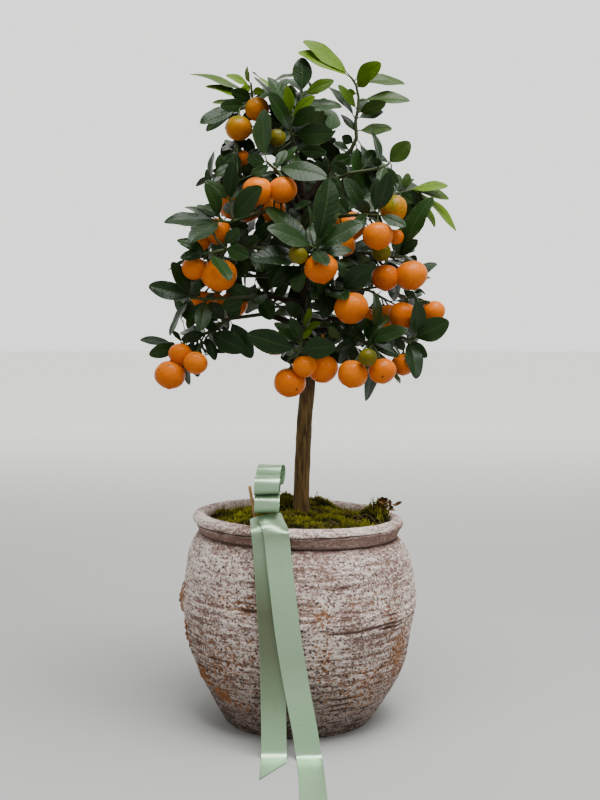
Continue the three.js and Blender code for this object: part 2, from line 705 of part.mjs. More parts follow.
// Fruits of a bunch: each moves in depth, or nearer, until it touches the one next to it
function readBunch(rows, curves) {
  const fruits = rows.map(([column, row, depth, radiusSeen, colour]) => (
    { centre: place(column, row, depth), radius: radiusSeen * pixelSize(depth), colour }
  ));
  fruits.slice(1).forEach((fruit, index) => {
    const before = fruits.slice(0, index + 1);
    const miss = before.map((other) => other.centre.distanceTo(fruit.centre) - other.radius);
    const mate = before[miss.indexOf(Math.min(...miss))];
    const reach = FRUIT_TOUCH * (mate.radius + fruit.radius);
    const flat = fruit.centre.clone().sub(mate.centre).setY(0);
    if (flat.length() > reach) flat.setLength(reach);
    const side = Math.sign(fruit.centre.y - mate.centre.y) || 1;
    const deep = side * Math.sqrt(Math.max(reach ** 2 - flat.lengthSq(), 0));
    fruit.centre.copy(mate.centre).add(flat).add(new THREE.Vector3(0, deep, 0));
  });
  fruits.forEach((fruit) => {
    const above = fruit.centre.clone().add(new THREE.Vector3(0, 0, fruit.radius + 7));
    fruit.hold = rootOn(curves, nearestOn(curves, (point) => point.distanceTo(above)), ROOT_INSET);
    fruit.axis = hangAxis(fruit.centre, fruit.hold);
  });
  return fruits;
}

// A fruit's stalk with its calyx, which sits on the fruit with a gap
function fruitStalk(fruit, bend, spare = 0) {
  const seat = FRUIT_FLATNESS * FRUIT_SWELL * fruit.radius + GAP;
  const foot = fruit.centre.clone().addScaledVector(fruit.axis, seat - spare);
  const neck = foot.clone().addScaledVector(fruit.axis, CALYX_HEIGHT + spare);
  const middle = fruit.hold.clone().lerp(neck, 0.5).addScaledVector(fruit.axis, 2).add(bend);
  const down = fruit.axis.clone().negate();
  const towards = (a, b) => b.clone().sub(a).normalize();
  return rod([
    { centre: fruit.hold, along: towards(fruit.hold, middle), radius: STALK_RADIUS + spare },
    { centre: middle, along: towards(fruit.hold, neck), radius: STALK_RADIUS + spare },
    { centre: neck, along: down, radius: STALK_RADIUS + spare },
    { centre: foot, along: down, radius: CALYX_RADIUS + spare },
  ], STALK_SIDES);
}

// Sprays: the twigs, stalks, calyxes and leaves of a limb, in one body
const STALK_BENDS = [
  [0, 0, 0], [6, 0, 0], [-6, 0, 0], [0, 6, 0], [0, -6, 0], [0, 0, 6], [10, 0, 4], [-10, 0, 4], [0, 10, 4],
  [0, -10, 4], [7, 7, 2], [-7, 7, 2], [7, -7, 2], [-7, -7, 2], [14, 0, 2], [-14, 0, 2], [0, 14, 2],
].map((bend) => new THREE.Vector3(...bend));
const TIP_SHIFTS = [0, -7, 7, -14, 14, -22, 22, -30, 30, -38, 38];
const FILL_LENGTHS = [1, 0.84, 0.7];
const FILL_TURNS = [0, 0.5, -0.5, 1, -1];
const STALK_SPACE = 0.2;
const LEAF_SPACE = 0.45;

// The first of some places for a leaf where it meets no other node, if possible one where it
// doesn't cross the spray's own blades either
function bestLeaf(spray, leaves, strict) {
  const clear = leaves.filter((leaf) => isClear(leafSolid(leaf, LEAF_SPACE), spray.name));
  const free = clear.find((leaf) => {
    const outer = leafSolid(leaf, 0, true);
    return spray.blades.every((blade) => outer.intersect(blade).isEmpty());
  });
  return strict ? free : free || clear[0];
}

function listedLeaf(spray, row, mates) {
  const [rootColumn, rootRow, tipColumn, tipRow, forward, widthSeen] = row;
  const near = nearestOn(spray.curves, missInView(rootColumn, rootRow));
  const root = rootOn(spray.curves, near, ROOT_INSET + mates * ROOT_SPACING);
  return bestLeaf(spray, TIP_SHIFTS.map((shift) => (
    seenLeaf(root, place(tipColumn, tipRow, near.point.y + forward + shift), widthSeen)
  )), false);
}

// A leaf that the front view doesn't settle, set by the golden angle along the shoots
function ruleLeaf(spray, index, random) {
  const curve = spray.curves[index % spray.curves.length];
  const first = curve === spray.curves[0] ? 1.2 : 0.4;
  const count = spray.curves.length;
  const share = (Math.floor(index / count) + 0.5) / Math.ceil(spray.fill / count);
  const at = first + (curve.length - 1 - first) * share;
  const root = onTwig(curve, at);
  const along = curveDirection(curve, at);
  const length = FILL_LENGTH * (0.85 + 0.35 * random());
  const start = index * GOLDEN_ANGLE + random() * 0.6;
  const outward = new THREE.Vector3(root.x, root.y, 0).normalize();
  const options = [];
  FILL_TURNS.forEach((turn) => FILL_LENGTHS.forEach((scale) => {
    const side = new THREE.Vector3(0, 0, 1).cross(along).normalize();
    const over = along.clone().cross(side);
    const away = side.multiplyScalar(Math.cos(start + turn)).addScaledVector(over, Math.sin(start + turn));
    const run = along.clone().multiplyScalar(FILL_RUN.along)
      .addScaledVector(away, FILL_RUN.away).addScaledVector(outward, FILL_RUN.outward);
    if (!spray.behind) run.y = Math.abs(run.y) + 0.3;
    run.normalize();
    const tip = root.clone().addScaledVector(run, length * scale);
    const face = outward.clone().multiplyScalar(0.6).add(new THREE.Vector3(0, 0, 0.8));
    face.addScaledVector(run, -face.dot(run));
    options.push({ root, tip, width: BLADE_RATIO * length * scale, face: face.normalize() });
  }));
  return bestLeaf(spray, options, true);
}

function grow(spray, solid) {
  spray.pieces.push(solid);
  keep(spray.name, solid);
}

function growLeaf(spray, leaf) {
  spray.blades.push(leafSolid(leaf, 0, true));
  grow(spray, leafSolid(leaf));
}

function growTwigs(spray) {
  spray.pieces = [];
  spray.blades = [];
  spray.curves.forEach((curve, index) => {
    const twig = index === 0
      ? stem(curve, 1, curve.length - 1, TWIG_RADIUS, TWIG_TIP_RADIUS, 4, curve.length - 2, GAP)
      : stem(curve, 0, curve.length - 1, SHOOT_RADIUS, TWIG_TIP_RADIUS, 3, curve.length - 1);
    grow(spray, twig);
  });
}

function growStalks(spray) {
  spray.bunches.flat().forEach((fruit) => {
    const bend = STALK_BENDS.find((option) => isClear(fruitStalk(fruit, option, STALK_SPACE), spray.name));
    if (bend) grow(spray, fruitStalk(fruit, bend));
  });
}

function growListedLeaves(spray) {
  const roots = new Map();
  (spray.leaves || []).forEach((row) => {
    const key = `${row[0]} ${row[1]}`;
    const mates = roots.get(key) || 0;
    roots.set(key, mates + 1);
    const leaf = listedLeaf(spray, row, mates);
    if (leaf) growLeaf(spray, leaf);
  });
}

function growFill(spray, seed) {
  const random = randomFrom(seed);
  for (let index = 0; index < spray.fill; index += 1) {
    const leaf = ruleLeaf(spray, index, random);
    if (leaf) growLeaf(spray, leaf);
  }
}

// The pot: a lathe profile, outside and inside, on a flat foot
function bellyRadius(height) {
  const belly = new THREE.SplineCurve(BELLY_PROFILE.map(([radius, z]) => new THREE.Vector2(radius, z)));
  const points = belly.getPoints(120);
  const next = Math.max(points.findIndex((p) => p.y >= height), 1);
  const [a, b] = [points[next - 1], points[next]];
  return a.x + ((b.x - a.x) * (height - a.y)) / (b.y - a.y);
}

const settle = (p) => p.setZ(p.z * (1 - LEAN * p.x));

function turned(profile, sides) {
  const lathe = new THREE.LatheGeometry(profile.map(([x, y]) => new THREE.Vector2(x, y)), sides);
  lathe.rotateX(Math.PI / 2);
  return reshape(lathe, settle);
}

// Heights of the points of the pot's inner wall
const innerHeights = steps(POT_FLOOR + 12, POT_NECK_HEIGHT - 4, 3);

function potSolid() {
  const outside = steps(0, POT_NECK_HEIGHT, 8).map((z) => [bellyRadius(z), z]);
  const inside = innerHeights.map((z) => [bellyRadius(z) - POT_WALL, z]).reverse();
  const floor = [[POT_FOOT_RADIUS - POT_WALL, POT_FLOOR], [0, POT_FLOOR]];
  return toSolid(turned([[0, 0], ...outside, ...LIP_PROFILE, ...inside, ...floor], POT_SIDES));
}

// Room for the lower end of the stem
function stemHole(from, to) {
  const radius = TRUNK_RADIUS + HOLE_SPACE;
  return stem(stemPath, from, to, radius, radius, TRUNK_SIDES, 5, -GAP);
}

function soilSolid() {
  const wall = innerHeights.map((z) => [bellyRadius(z) - POT_WALL - GAP, z]);
  const profile = [
    [0, POT_FLOOR + GAP], [POT_FOOT_RADIUS - POT_WALL - GAP, POT_FLOOR + GAP], ...wall,
    [SOIL_RADIUS, SOIL_TOP], [0, SOIL_TOP],
  ];
  return toSolid(turned(profile, POT_SIDES / 2)).subtract(stemHole(0, 4)).subtract(pickSolid(HOLE_SPACE));
}

// Height of the moss: a low dome with lumps and humps
function mossHeight(x, y) {
  const dome = MOSS_DOME * (1 - (x * x + y * y) / POT_MOUTH_RADIUS ** 2);
  const lumps = 1.3 * Math.sin(x * 0.13 + 1) * Math.cos(y * 0.11) + Math.sin(x * 0.05 - y * 0.21);
  const humps = MOSS_HUMPS.map(([px, py, rise, spread]) => (
    rise * Math.exp(-((x - px) ** 2 + (y - py) ** 2) / spread ** 2)
  ));
  return MOSS_EDGE_HEIGHT + dome + lumps + humps.reduce((sum, hump) => sum + hump);
}

function mossSolid() {
  const foot = [[0, SOIL_TOP + GAP], [MOSS_FOOT_RADIUS, SOIL_TOP + GAP]];
  const profile = [...foot, ...MOSS_RINGS.map((r) => [r, POT_HEIGHT]), [0, POT_HEIGHT]];
  const lathe = new THREE.LatheGeometry(profile.map(([x, y]) => new THREE.Vector2(x, y)), MOSS_SIDES);
  lathe.rotateX(Math.PI / 2);
  reshape(lathe, (p) => settle(p.setZ(p.z > POT_HEIGHT - 1 ? mossHeight(p.x, p.y) : p.z)));
  return toSolid(lathe).subtract(stemHole(1, 4)).subtract(pickSolid(HOLE_SPACE));
}

// The bow's pick, stuck into the moss and the soil
const pickPath = [place(249.5, 486, -78), new THREE.Vector3(-37, -77, 186)];

function pickSolid(spare = 0) {
  const [top, end] = pickPath;
  const along = end.clone().sub(top).normalize();
  const radius = PICK_RADIUS + spare;
  return rod([
    { centre: top.clone().addScaledVector(along, -spare), along, radius },
    { centre: end.clone().addScaledVector(along, spare), along, radius },
  ], PICK_SIDES);
}

// Ribbon: rolls seen from their open ends at the sides, a tie and two tails
const BOW = {
  x: -31,
  rollLength: RIBBON_WIDTH + 2,
  rolls: [
    { y: -97, z: 249, deep: 14.5, high: 9.6, shift: 0, turn: 0 },
    { y: -98, z: 267.6, deep: 14.5, high: 10, shift: 0.6, turn: -0.04 },
    { y: -85, z: 276.5, deep: 12.5, high: 10.5, shift: 3.5, turn: -0.2 },
  ],
  tie: { x: -37, y: -86.6, z: 251, across: 13, deep: 12.6, high: 24 },
};

function rollSolid(roll) {
  const ring = new THREE.Shape().absellipse(0, 0, roll.deep, roll.high, 0, Math.PI * 2);
  const hole = new THREE.Path().absellipse(
    0, 0, roll.deep - RIBBON_THICKNESS, roll.high - RIBBON_THICKNESS, 0, Math.PI * 2,
  );
  ring.holes.push(hole);
  const extrusion = { depth: BOW.rollLength, bevelEnabled: false, curveSegments: 6 };
  const tube = new THREE.ExtrudeGeometry(ring, extrusion);
  tube.translate(0, 0, -BOW.rollLength / 2);
  tube.rotateY(Math.PI / 2);
  tube.rotateX(Math.PI / 2);
  tube.rotateZ(roll.turn);
  tube.translate(BOW.x + roll.shift, roll.y, roll.z);
  return toSolid(tube);
}

function bowSolid() {
  const { x, y, z, across, deep, high } = BOW.tie;
  const tie = new THREE.BoxGeometry(across, deep, high).translate(x, y, z);
  return wasm.Manifold.union([...BOW.rolls.map(rollSolid), toSolid(tie)]).subtract(pickSolid(GAP));
}

// A tail: a strip along its path, with its end cut off between two places on the surface
function tailSolid(path, [left, right]) {
  const count = path.length - 1;
  const strip = new THREE.BoxGeometry(RIBBON_WIDTH, 1, RIBBON_THICKNESS, 1, count, 1);
  const whole = toSolid(reshape(strip, (p) => {
    const at = (p.y + 0.5) * count;
    const along = curveDirection(path, at);
    const across = new THREE.Vector3(1, 0, 0).addScaledVector(along, -along.x).normalize();
    return onCurve(path, at).addScaledVector(across, p.x).addScaledVector(across.clone().cross(along), p.z);
  }));
  const kept = new THREE.Vector2(left[1] - right[1], right[0] - left[0]).normalize();
  return whole.trimByPlane([kept.x, kept.y, 0], kept.dot(new THREE.Vector2(...left)));
}

// Paths in x, y, z: from the tie over the lip, past the belly, and out along the surface
const SHORT_TAIL = [
  [-37, -99, 237], [-35.5, -106, 230.5], [-34, -111.6, 225], [-33, -115.4, 215], [-31, -118.5, 195],
  [-29, -123.9, 165], [-26.8, -126.8, 130], [-25, -127.6, 97], [-24.2, -128, 60], [-23.8, -128.6, 28],
  [-23.6, -130.5, 9], [-23.5, -137, 1.6], [-23.5, -150, 0.9], [-23.6, -168, 0.9], [-23.8, -190, 0.9],
].map((p) => new THREE.Vector3(...p));
const LONG_TAIL = [
  [-22, -101, 238.5], [-21, -108.5, 232.5], [-20.4, -115, 226.5], [-20, -119, 216], [-18.5, -122, 196],
  [-15, -126.8, 168], [-10.5, -130.4, 130], [-5.5, -131.2, 97], [1, -131.2, 60], [7, -131.6, 28],
  [10, -133.6, 9], [11.6, -140, 1.6], [12.6, -158, 0.9], [13.4, -185, 0.9], [14.2, -220, 0.9],
  [15, -266, 0.9],
].map((p) => new THREE.Vector3(...p));

// Left and right corners of the tails' ends, in x and y
const SHORT_END = [[-36.3, -186.9], [-11, -144.2]];
const LONG_END = [[2.4, -262.2], [27.3, -236.5]];

const part = new THREE.Group();

function addMesh(name, solid, colour, roughness = 0.7) {
  const material = new THREE.MeshStandardMaterial({ color: colour, roughness, metalness: 0 });
  const mesh = new THREE.Mesh(toGeometry(solid), material);
  mesh.name = name;
  part.add(mesh);
}

addMesh('pot', potSolid(), '#b9a9a2', 0.95);
addMesh('soil', soilSolid(), '#2e241c', 1);
addMesh('moss', mossSolid(), '#6f7426', 1);
addMesh('pick', pickSolid(), '#b98f5c', 0.8);
addMesh('ribbon_bow', bowSolid(), '#8fae98', 0.4);
addMesh('ribbon_tail_short', tailSolid(SHORT_TAIL, SHORT_END), '#8fae98', 0.4);
addMesh('ribbon_tail_long', tailSolid(LONG_TAIL, LONG_END), '#8fae98', 0.4);

// The tree: stem and limbs, then the fruits, then what each limb carries. What the front
// view settles is placed before the leaves that it doesn't.
const top = stemPath.length - 1;
const stemSolid = rod(steps(0, top, TRUNK_STEPS).map((at) => {
  const share = Math.max(at - TRUNK_TAPER_START, 0) / (top - TRUNK_TAPER_START);
  const radius = TRUNK_RADIUS + (TRUNK_TOP_RADIUS - TRUNK_RADIUS) * share;
  return { centre: onCurve(stemPath, at), along: curveDirection(stemPath, at), radius };
}), TRUNK_SIDES);
const limbs = LIMBS.map((spray) => stem(spray.curves[0], 0, 1, LIMB_RADIUS, TWIG_RADIUS, 3, 1));
const treeSolid = joined([stemSolid, ...limbs]);
keep('trunk', treeSolid);
addMesh('trunk', treeSolid, '#4a3a2a', 0.9);

const FRUIT_COLOURS = { ripe: '#ee8512', ripening: '#d9a012', olive: '#8f8c17' };
SPRAYS.forEach((spray) => {
  spray.bunches = (spray.fruits || []).map((rows) => readBunch(rows, spray.curves));
});
LIMBS.forEach((spray) => {
  spray.bunches.forEach((fruits, index) => {
    const solid = joined(fruits.map((fruit) => fruitSolid(fruit)));
    const name = `fruit_${spray.name}_${index + 1}`;
    keep(name, solid);
    addMesh(name, solid, FRUIT_COLOURS[fruits[0].colour], 0.45);
  });
});

LIMBS.forEach(growTwigs);
LIMBS.forEach(growStalks);
LIMBS.forEach(growListedLeaves);
LIMBS.forEach((spray, index) => growFill(spray, index + 1));
LIMBS.forEach((spray) => {
  addMesh(`spray_${spray.name}`, joined(spray.pieces), spray.young ? '#6d8f24' : '#24452a', 0.35);
});

export default part;
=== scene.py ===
"""A citrus bonsai in a whitewashed pot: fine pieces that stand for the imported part's nodes.

Lengths are in millimetres until a mesh is made, and in metres in the scene. +Z is up and the
front view looks along +Y, as in the part.
"""

from __future__ import annotations

import logging
import math
from collections.abc import Callable, Mapping, Sequence
from dataclasses import dataclass, field, replace
from enum import Enum

import bpy
import numpy as np
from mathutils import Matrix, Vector
from mathutils.bvhtree import BVHTree
from mathutils.kdtree import KDTree

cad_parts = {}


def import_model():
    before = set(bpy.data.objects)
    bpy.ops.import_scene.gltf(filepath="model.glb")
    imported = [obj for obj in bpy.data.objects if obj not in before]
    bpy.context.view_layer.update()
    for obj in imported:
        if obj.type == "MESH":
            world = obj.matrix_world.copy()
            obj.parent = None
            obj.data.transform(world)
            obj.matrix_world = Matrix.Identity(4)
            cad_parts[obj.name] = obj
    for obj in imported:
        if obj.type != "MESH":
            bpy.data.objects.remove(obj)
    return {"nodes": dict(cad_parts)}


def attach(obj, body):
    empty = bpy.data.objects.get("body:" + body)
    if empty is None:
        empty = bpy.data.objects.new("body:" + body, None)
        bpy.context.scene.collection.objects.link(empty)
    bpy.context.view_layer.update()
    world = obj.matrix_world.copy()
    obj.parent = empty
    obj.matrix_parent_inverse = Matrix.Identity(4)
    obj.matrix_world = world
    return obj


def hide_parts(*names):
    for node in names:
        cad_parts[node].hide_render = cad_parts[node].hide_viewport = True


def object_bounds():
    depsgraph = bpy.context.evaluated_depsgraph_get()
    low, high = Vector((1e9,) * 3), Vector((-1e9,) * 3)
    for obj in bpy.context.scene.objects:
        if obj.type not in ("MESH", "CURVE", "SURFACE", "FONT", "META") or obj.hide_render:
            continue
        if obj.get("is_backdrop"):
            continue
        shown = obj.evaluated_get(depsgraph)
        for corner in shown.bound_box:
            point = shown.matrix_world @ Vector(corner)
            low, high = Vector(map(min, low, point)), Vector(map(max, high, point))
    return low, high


LOG = logging.getLogger("citrus_bonsai")

MM = 0.001

# Sizes that the part has too, but for the stem's radius, to which the bark adds
TRUNK_RADIUS = 8.45
TRUNK_TAPER_START = 6
TRUNK_TOP_RADIUS = 3.4
TRUNK_ROOT_HEIGHT = 130
LIMB_RADIUS = 4.2
TWIG_RADIUS = 2.3
TWIG_TIP_RADIUS = 1.1
SHOOT_RADIUS = 1.5
STALK_RADIUS = 0.9
CALYX_RADIUS = 2.9
CALYX_HEIGHT = 1.4
BLADE_RATIO = 0.43
BLADE_FOLD = 0.12
BLADE_ARCH = 0.07
PETIOLE = 0.12
ROOT_INSET = 1.2
ROOT_SPACING = 4
MAIN_START = 1.15
SIDE_START = 0.2
FILL_LENGTH = 47
FILL_MAIN_START = 1.2
FILL_SIDE_START = 0.4
GOLDEN_ANGLE = 2.39996
FRUIT_FLATNESS = 0.9
FRUIT_SWELL = 1.02
FRUIT_TOUCH = 0.85
REAR_FRUIT_RADIUS = 16
GAP = 0.3
MOUTH_RADIUS = 99.5
MOSS_EDGE_HEIGHT = 214
RIBBON_WIDTH = 25
# Share of its height that the pot loses for each millimetre towards +X
LEAN = 0.00015

# Steps along a curve, and between two points of a shoot to find the nearest place or hold a twiglet
CURVE_STEP = 0.02
NEAREST_STEPS = 24
HOLD_STEPS = 14
HOLD_START = 0.3
# Farthest that a fruit's centre lies from the middle of a leaf that it may bend
FRUIT_REACH = 60

Array = np.ndarray
Material = bpy.types.Material
Row = tuple[float, ...]
Paint = tuple[float, float, float, float]


class Peel(Enum):
    """Ripeness of a fruit, by the record's slot for its peel."""

    RIPE = "ripe_fruit"
    RIPENING = "ripening_fruit"
    OLIVE = "olive_fruit"


class Slot(Enum):
    """The record's other material slots."""

    TERRACOTTA = "whitewashed_terracotta"
    SOIL = "potting_soil"
    MOSS = "moss"
    BARK = "bark"
    PICK = "pick_wood"
    RIBBON = "satin_ribbon"
    LEAF = "leaf"
    YOUNG_LEAF = "young_leaf"


def vec(*values: float) -> Array:
    """A point or a direction."""
    return np.array(values, float)


def unit(vectors: Array) -> Array:
    """The vectors at length 1."""
    length = np.linalg.norm(vectors, axis=-1, keepdims=True)
    return vectors / np.maximum(length, 1e-12)


def ramp(value: Array | float, low: float, high: float) -> Array:
    """A smooth step.

    Args:
        value: Where it is taken.
        low: The value up to which it is 0.
        high: The value from which it is 1.

    Returns:
        Numbers from 0 to 1.
    """
    share = np.clip((np.asarray(value, float) - low) / (high - low), 0, 1)
    return share * share * (3 - 2 * share)


def paint(code: str) -> Paint:
    """A colour for a shader.

    Args:
        code: The colour as #rrggbb, as a screen shows it.

    Returns:
        Its linear red, green, blue and an alpha of 1.
    """
    shown = [int(code[k : k + 2], 16) / 255 for k in (1, 3, 5)]
    red, green, blue = ((c / 12.92 if c <= 0.04045 else ((c + 0.055) / 1.055) ** 2.4) for c in shown)
    return red, green, blue, 1.0


def on_curve(points: Array, at: Array | float) -> Array:
    """Places on a smooth curve through points.

    Args:
        points: The points, one a row.
        at: Where, 0 for the first point and the number of the last for the last.

    Returns:
        The places, one for each value of at.
    """
    at = np.asarray(at, float)
    step = np.clip(np.floor(at).astype(int), 0, len(points) - 2)
    f = (at - step)[..., None]
    ends = np.vstack([2 * points[0] - points[1], points, 2 * points[-1] - points[-2]])
    before, start, end, after = (ends[step + k] for k in range(4))
    return (
        before * 0.5 * (-f + 2 * f * f - f * f * f)
        + start * 0.5 * (2 - 5 * f * f + 3 * f * f * f)
        + end * 0.5 * (f + 4 * f * f - 3 * f * f * f)
        + after * 0.5 * (-f * f + f * f * f)
    )


def on_twig(points: Array, at: Array | float) -> Array:
    """Places along the straight lines between points, as on_curve counts them.

    Args:
        points: The points, one a row.
        at: Where.

    Returns:
        The places, one for each value of at.
    """
    at = np.asarray(at, float)
    step = np.clip(np.floor(at).astype(int), 0, len(points) - 2)
    f = (at - step)[..., None]
    return points[step] * (1 - f) + points[step + 1] * f


def curve_direction(points: Array, at: Array | float) -> Array:
    """The direction of the smooth curve through points at some places.

    Args:
        points: The points, one a row.
        at: The places, as on_curve counts them.

    Returns:
        The directions, one for each value of at.
    """
    at = np.asarray(at, float)
    behind = on_curve(points, np.maximum(at - CURVE_STEP, 0))
    ahead = on_curve(points, np.minimum(at + CURVE_STEP, len(points) - 1))
    return unit(ahead - behind)


def level(degrees: float) -> Array:
    """The level direction at some degrees from +X."""
    return vec(math.cos(math.radians(degrees)), math.sin(math.radians(degrees)), 0)


class Dice:
    """Repeatable random numbers, the same as those that set the part's rule leaves."""

    def __init__(self, seed: int) -> None:
        """Starts from a seed."""
        self._state = seed

    def roll(self) -> float:
        """The next number from 0 to 1."""
        mask = 0xFFFFFFFF
        self._state = (self._state + 0x6D2B79F5) & mask
        mixed = ((self._state ^ (self._state >> 15)) * (1 | self._state)) & mask
        mixed = ((mixed + (mixed ^ (mixed >> 7)) * (61 | mixed)) & mask) ^ mixed
        return (mixed ^ (mixed >> 14)) / (mask + 1)


class Grain:
    """Smooth noise over a plane, from -1 to 1, that repeats after some columns."""

    def __init__(self, seed: int, columns: int, rows: int = 97) -> None:
        """Draws the noise's corners.

        Args:
            seed: Sets them.
            columns: Columns until it repeats.
            rows: Rows until it repeats.
        """
        self._values = np.random.default_rng(seed).uniform(-1, 1, (rows, columns))

    def at(self, turn: Array, row: Array) -> Array:
        """The noise at places.

        Args:
            turn: Turns, each of which runs through all columns.
            row: Rows.

        Returns:
            The noise, in the shape of the places.
        """
        rows, columns = self._values.shape
        column = turn * columns
        left, low = np.floor(column).astype(int), np.floor(row).astype(int)
        x, y = column - left, row - low
        x, y = x * x * (3 - 2 * x), y * y * (3 - 2 * y)
        corner = [self._values[(low + j) % rows, (left + i) % columns] for j in (0, 1) for i in (0, 1)]
        return (corner[0] * (1 - x) + corner[1] * x) * (1 - y) + (corner[2] * (1 - x) + corner[3] * x) * y


@dataclass(frozen=True)
class View:
    """The front view that the plant was measured in, 600 columns wide and 800 rows high."""

    focal: float = 1110
    column: float = 300
    row: float = 400
    distance: float = 1208
    height: float = 413
    aside: float = 2.2
    pitch: float = math.radians(3.1)

    @property
    def eye(self) -> Array:
        """Where it is seen from."""
        return vec(self.aside, -self.distance, self.height)

    def place(self, column: float, row: float, depth: float) -> Array:
        """The point seen at a column and row, at a depth behind the stem.

        Args:
            column: The column.
            row: The row.
            depth: How far behind the stem it is.

        Returns:
            The point.
        """
        right, down = (column - self.column) / self.focal, (row - self.row) / self.focal
        sine, cosine = math.sin(self.pitch), math.cos(self.pitch)
        ray = vec(right, cosine - down * sine, -sine - down * cosine)
        return self.eye + ray * ((depth + self.distance) / ray[1])

    def seen(self, points: Array) -> Array:
        """The columns and rows at which points are seen, along the last axis.

        Args:
            points: The points, with their coordinates along the last axis.

        Returns:
            The columns and rows.
        """
        aside, ahead, above = np.moveaxis(points - self.eye, -1, 0)
        sine, cosine = math.sin(self.pitch), math.cos(self.pitch)
        reach = ahead * cosine - above * sine
        rise = ahead * sine + above * cosine
        column = self.column + self.focal * aside / reach
        return np.stack([column, self.row - self.focal * rise / reach], axis=-1)

    def pixel(self, depth: float) -> float:
        """Millimetres that one row or column covers at a depth."""
        return (depth + self.distance) / self.focal


VIEW = View()


@dataclass(frozen=True)
class Spray:
    """A leafy limb as the front view shows it.

    Attributes:
        name: Its name in the part.
        stem_row: The row at which it leaves the stem.
        shoots: Lists of column, row and depth. The first starts at the stem.
        leaves: Root column and row, tip column and row, depth of the tip from the root, width
            seen, and for a young leaf its youth from 0 to 1.
        small: The same for leaves too small for the part.
        bunches: Lists of column, row, depth, radius and peel of fruits that touch.
    """

    name: str
    stem_row: float
    shoots: tuple[tuple[Row, ...], ...]
    leaves: tuple[Row, ...]
    small: tuple[Row, ...] = ()
    bunches: tuple[tuple[tuple[float | Peel, ...], ...], ...] = ()


@dataclass(frozen=True)
class RearLimb:
    """A limb behind the stem, which the part sets by rule."""

    name: str
    azimuth: float
    stem_row: float
    reach: float
    rise: float
    bunch: bool
    fill: int = 10


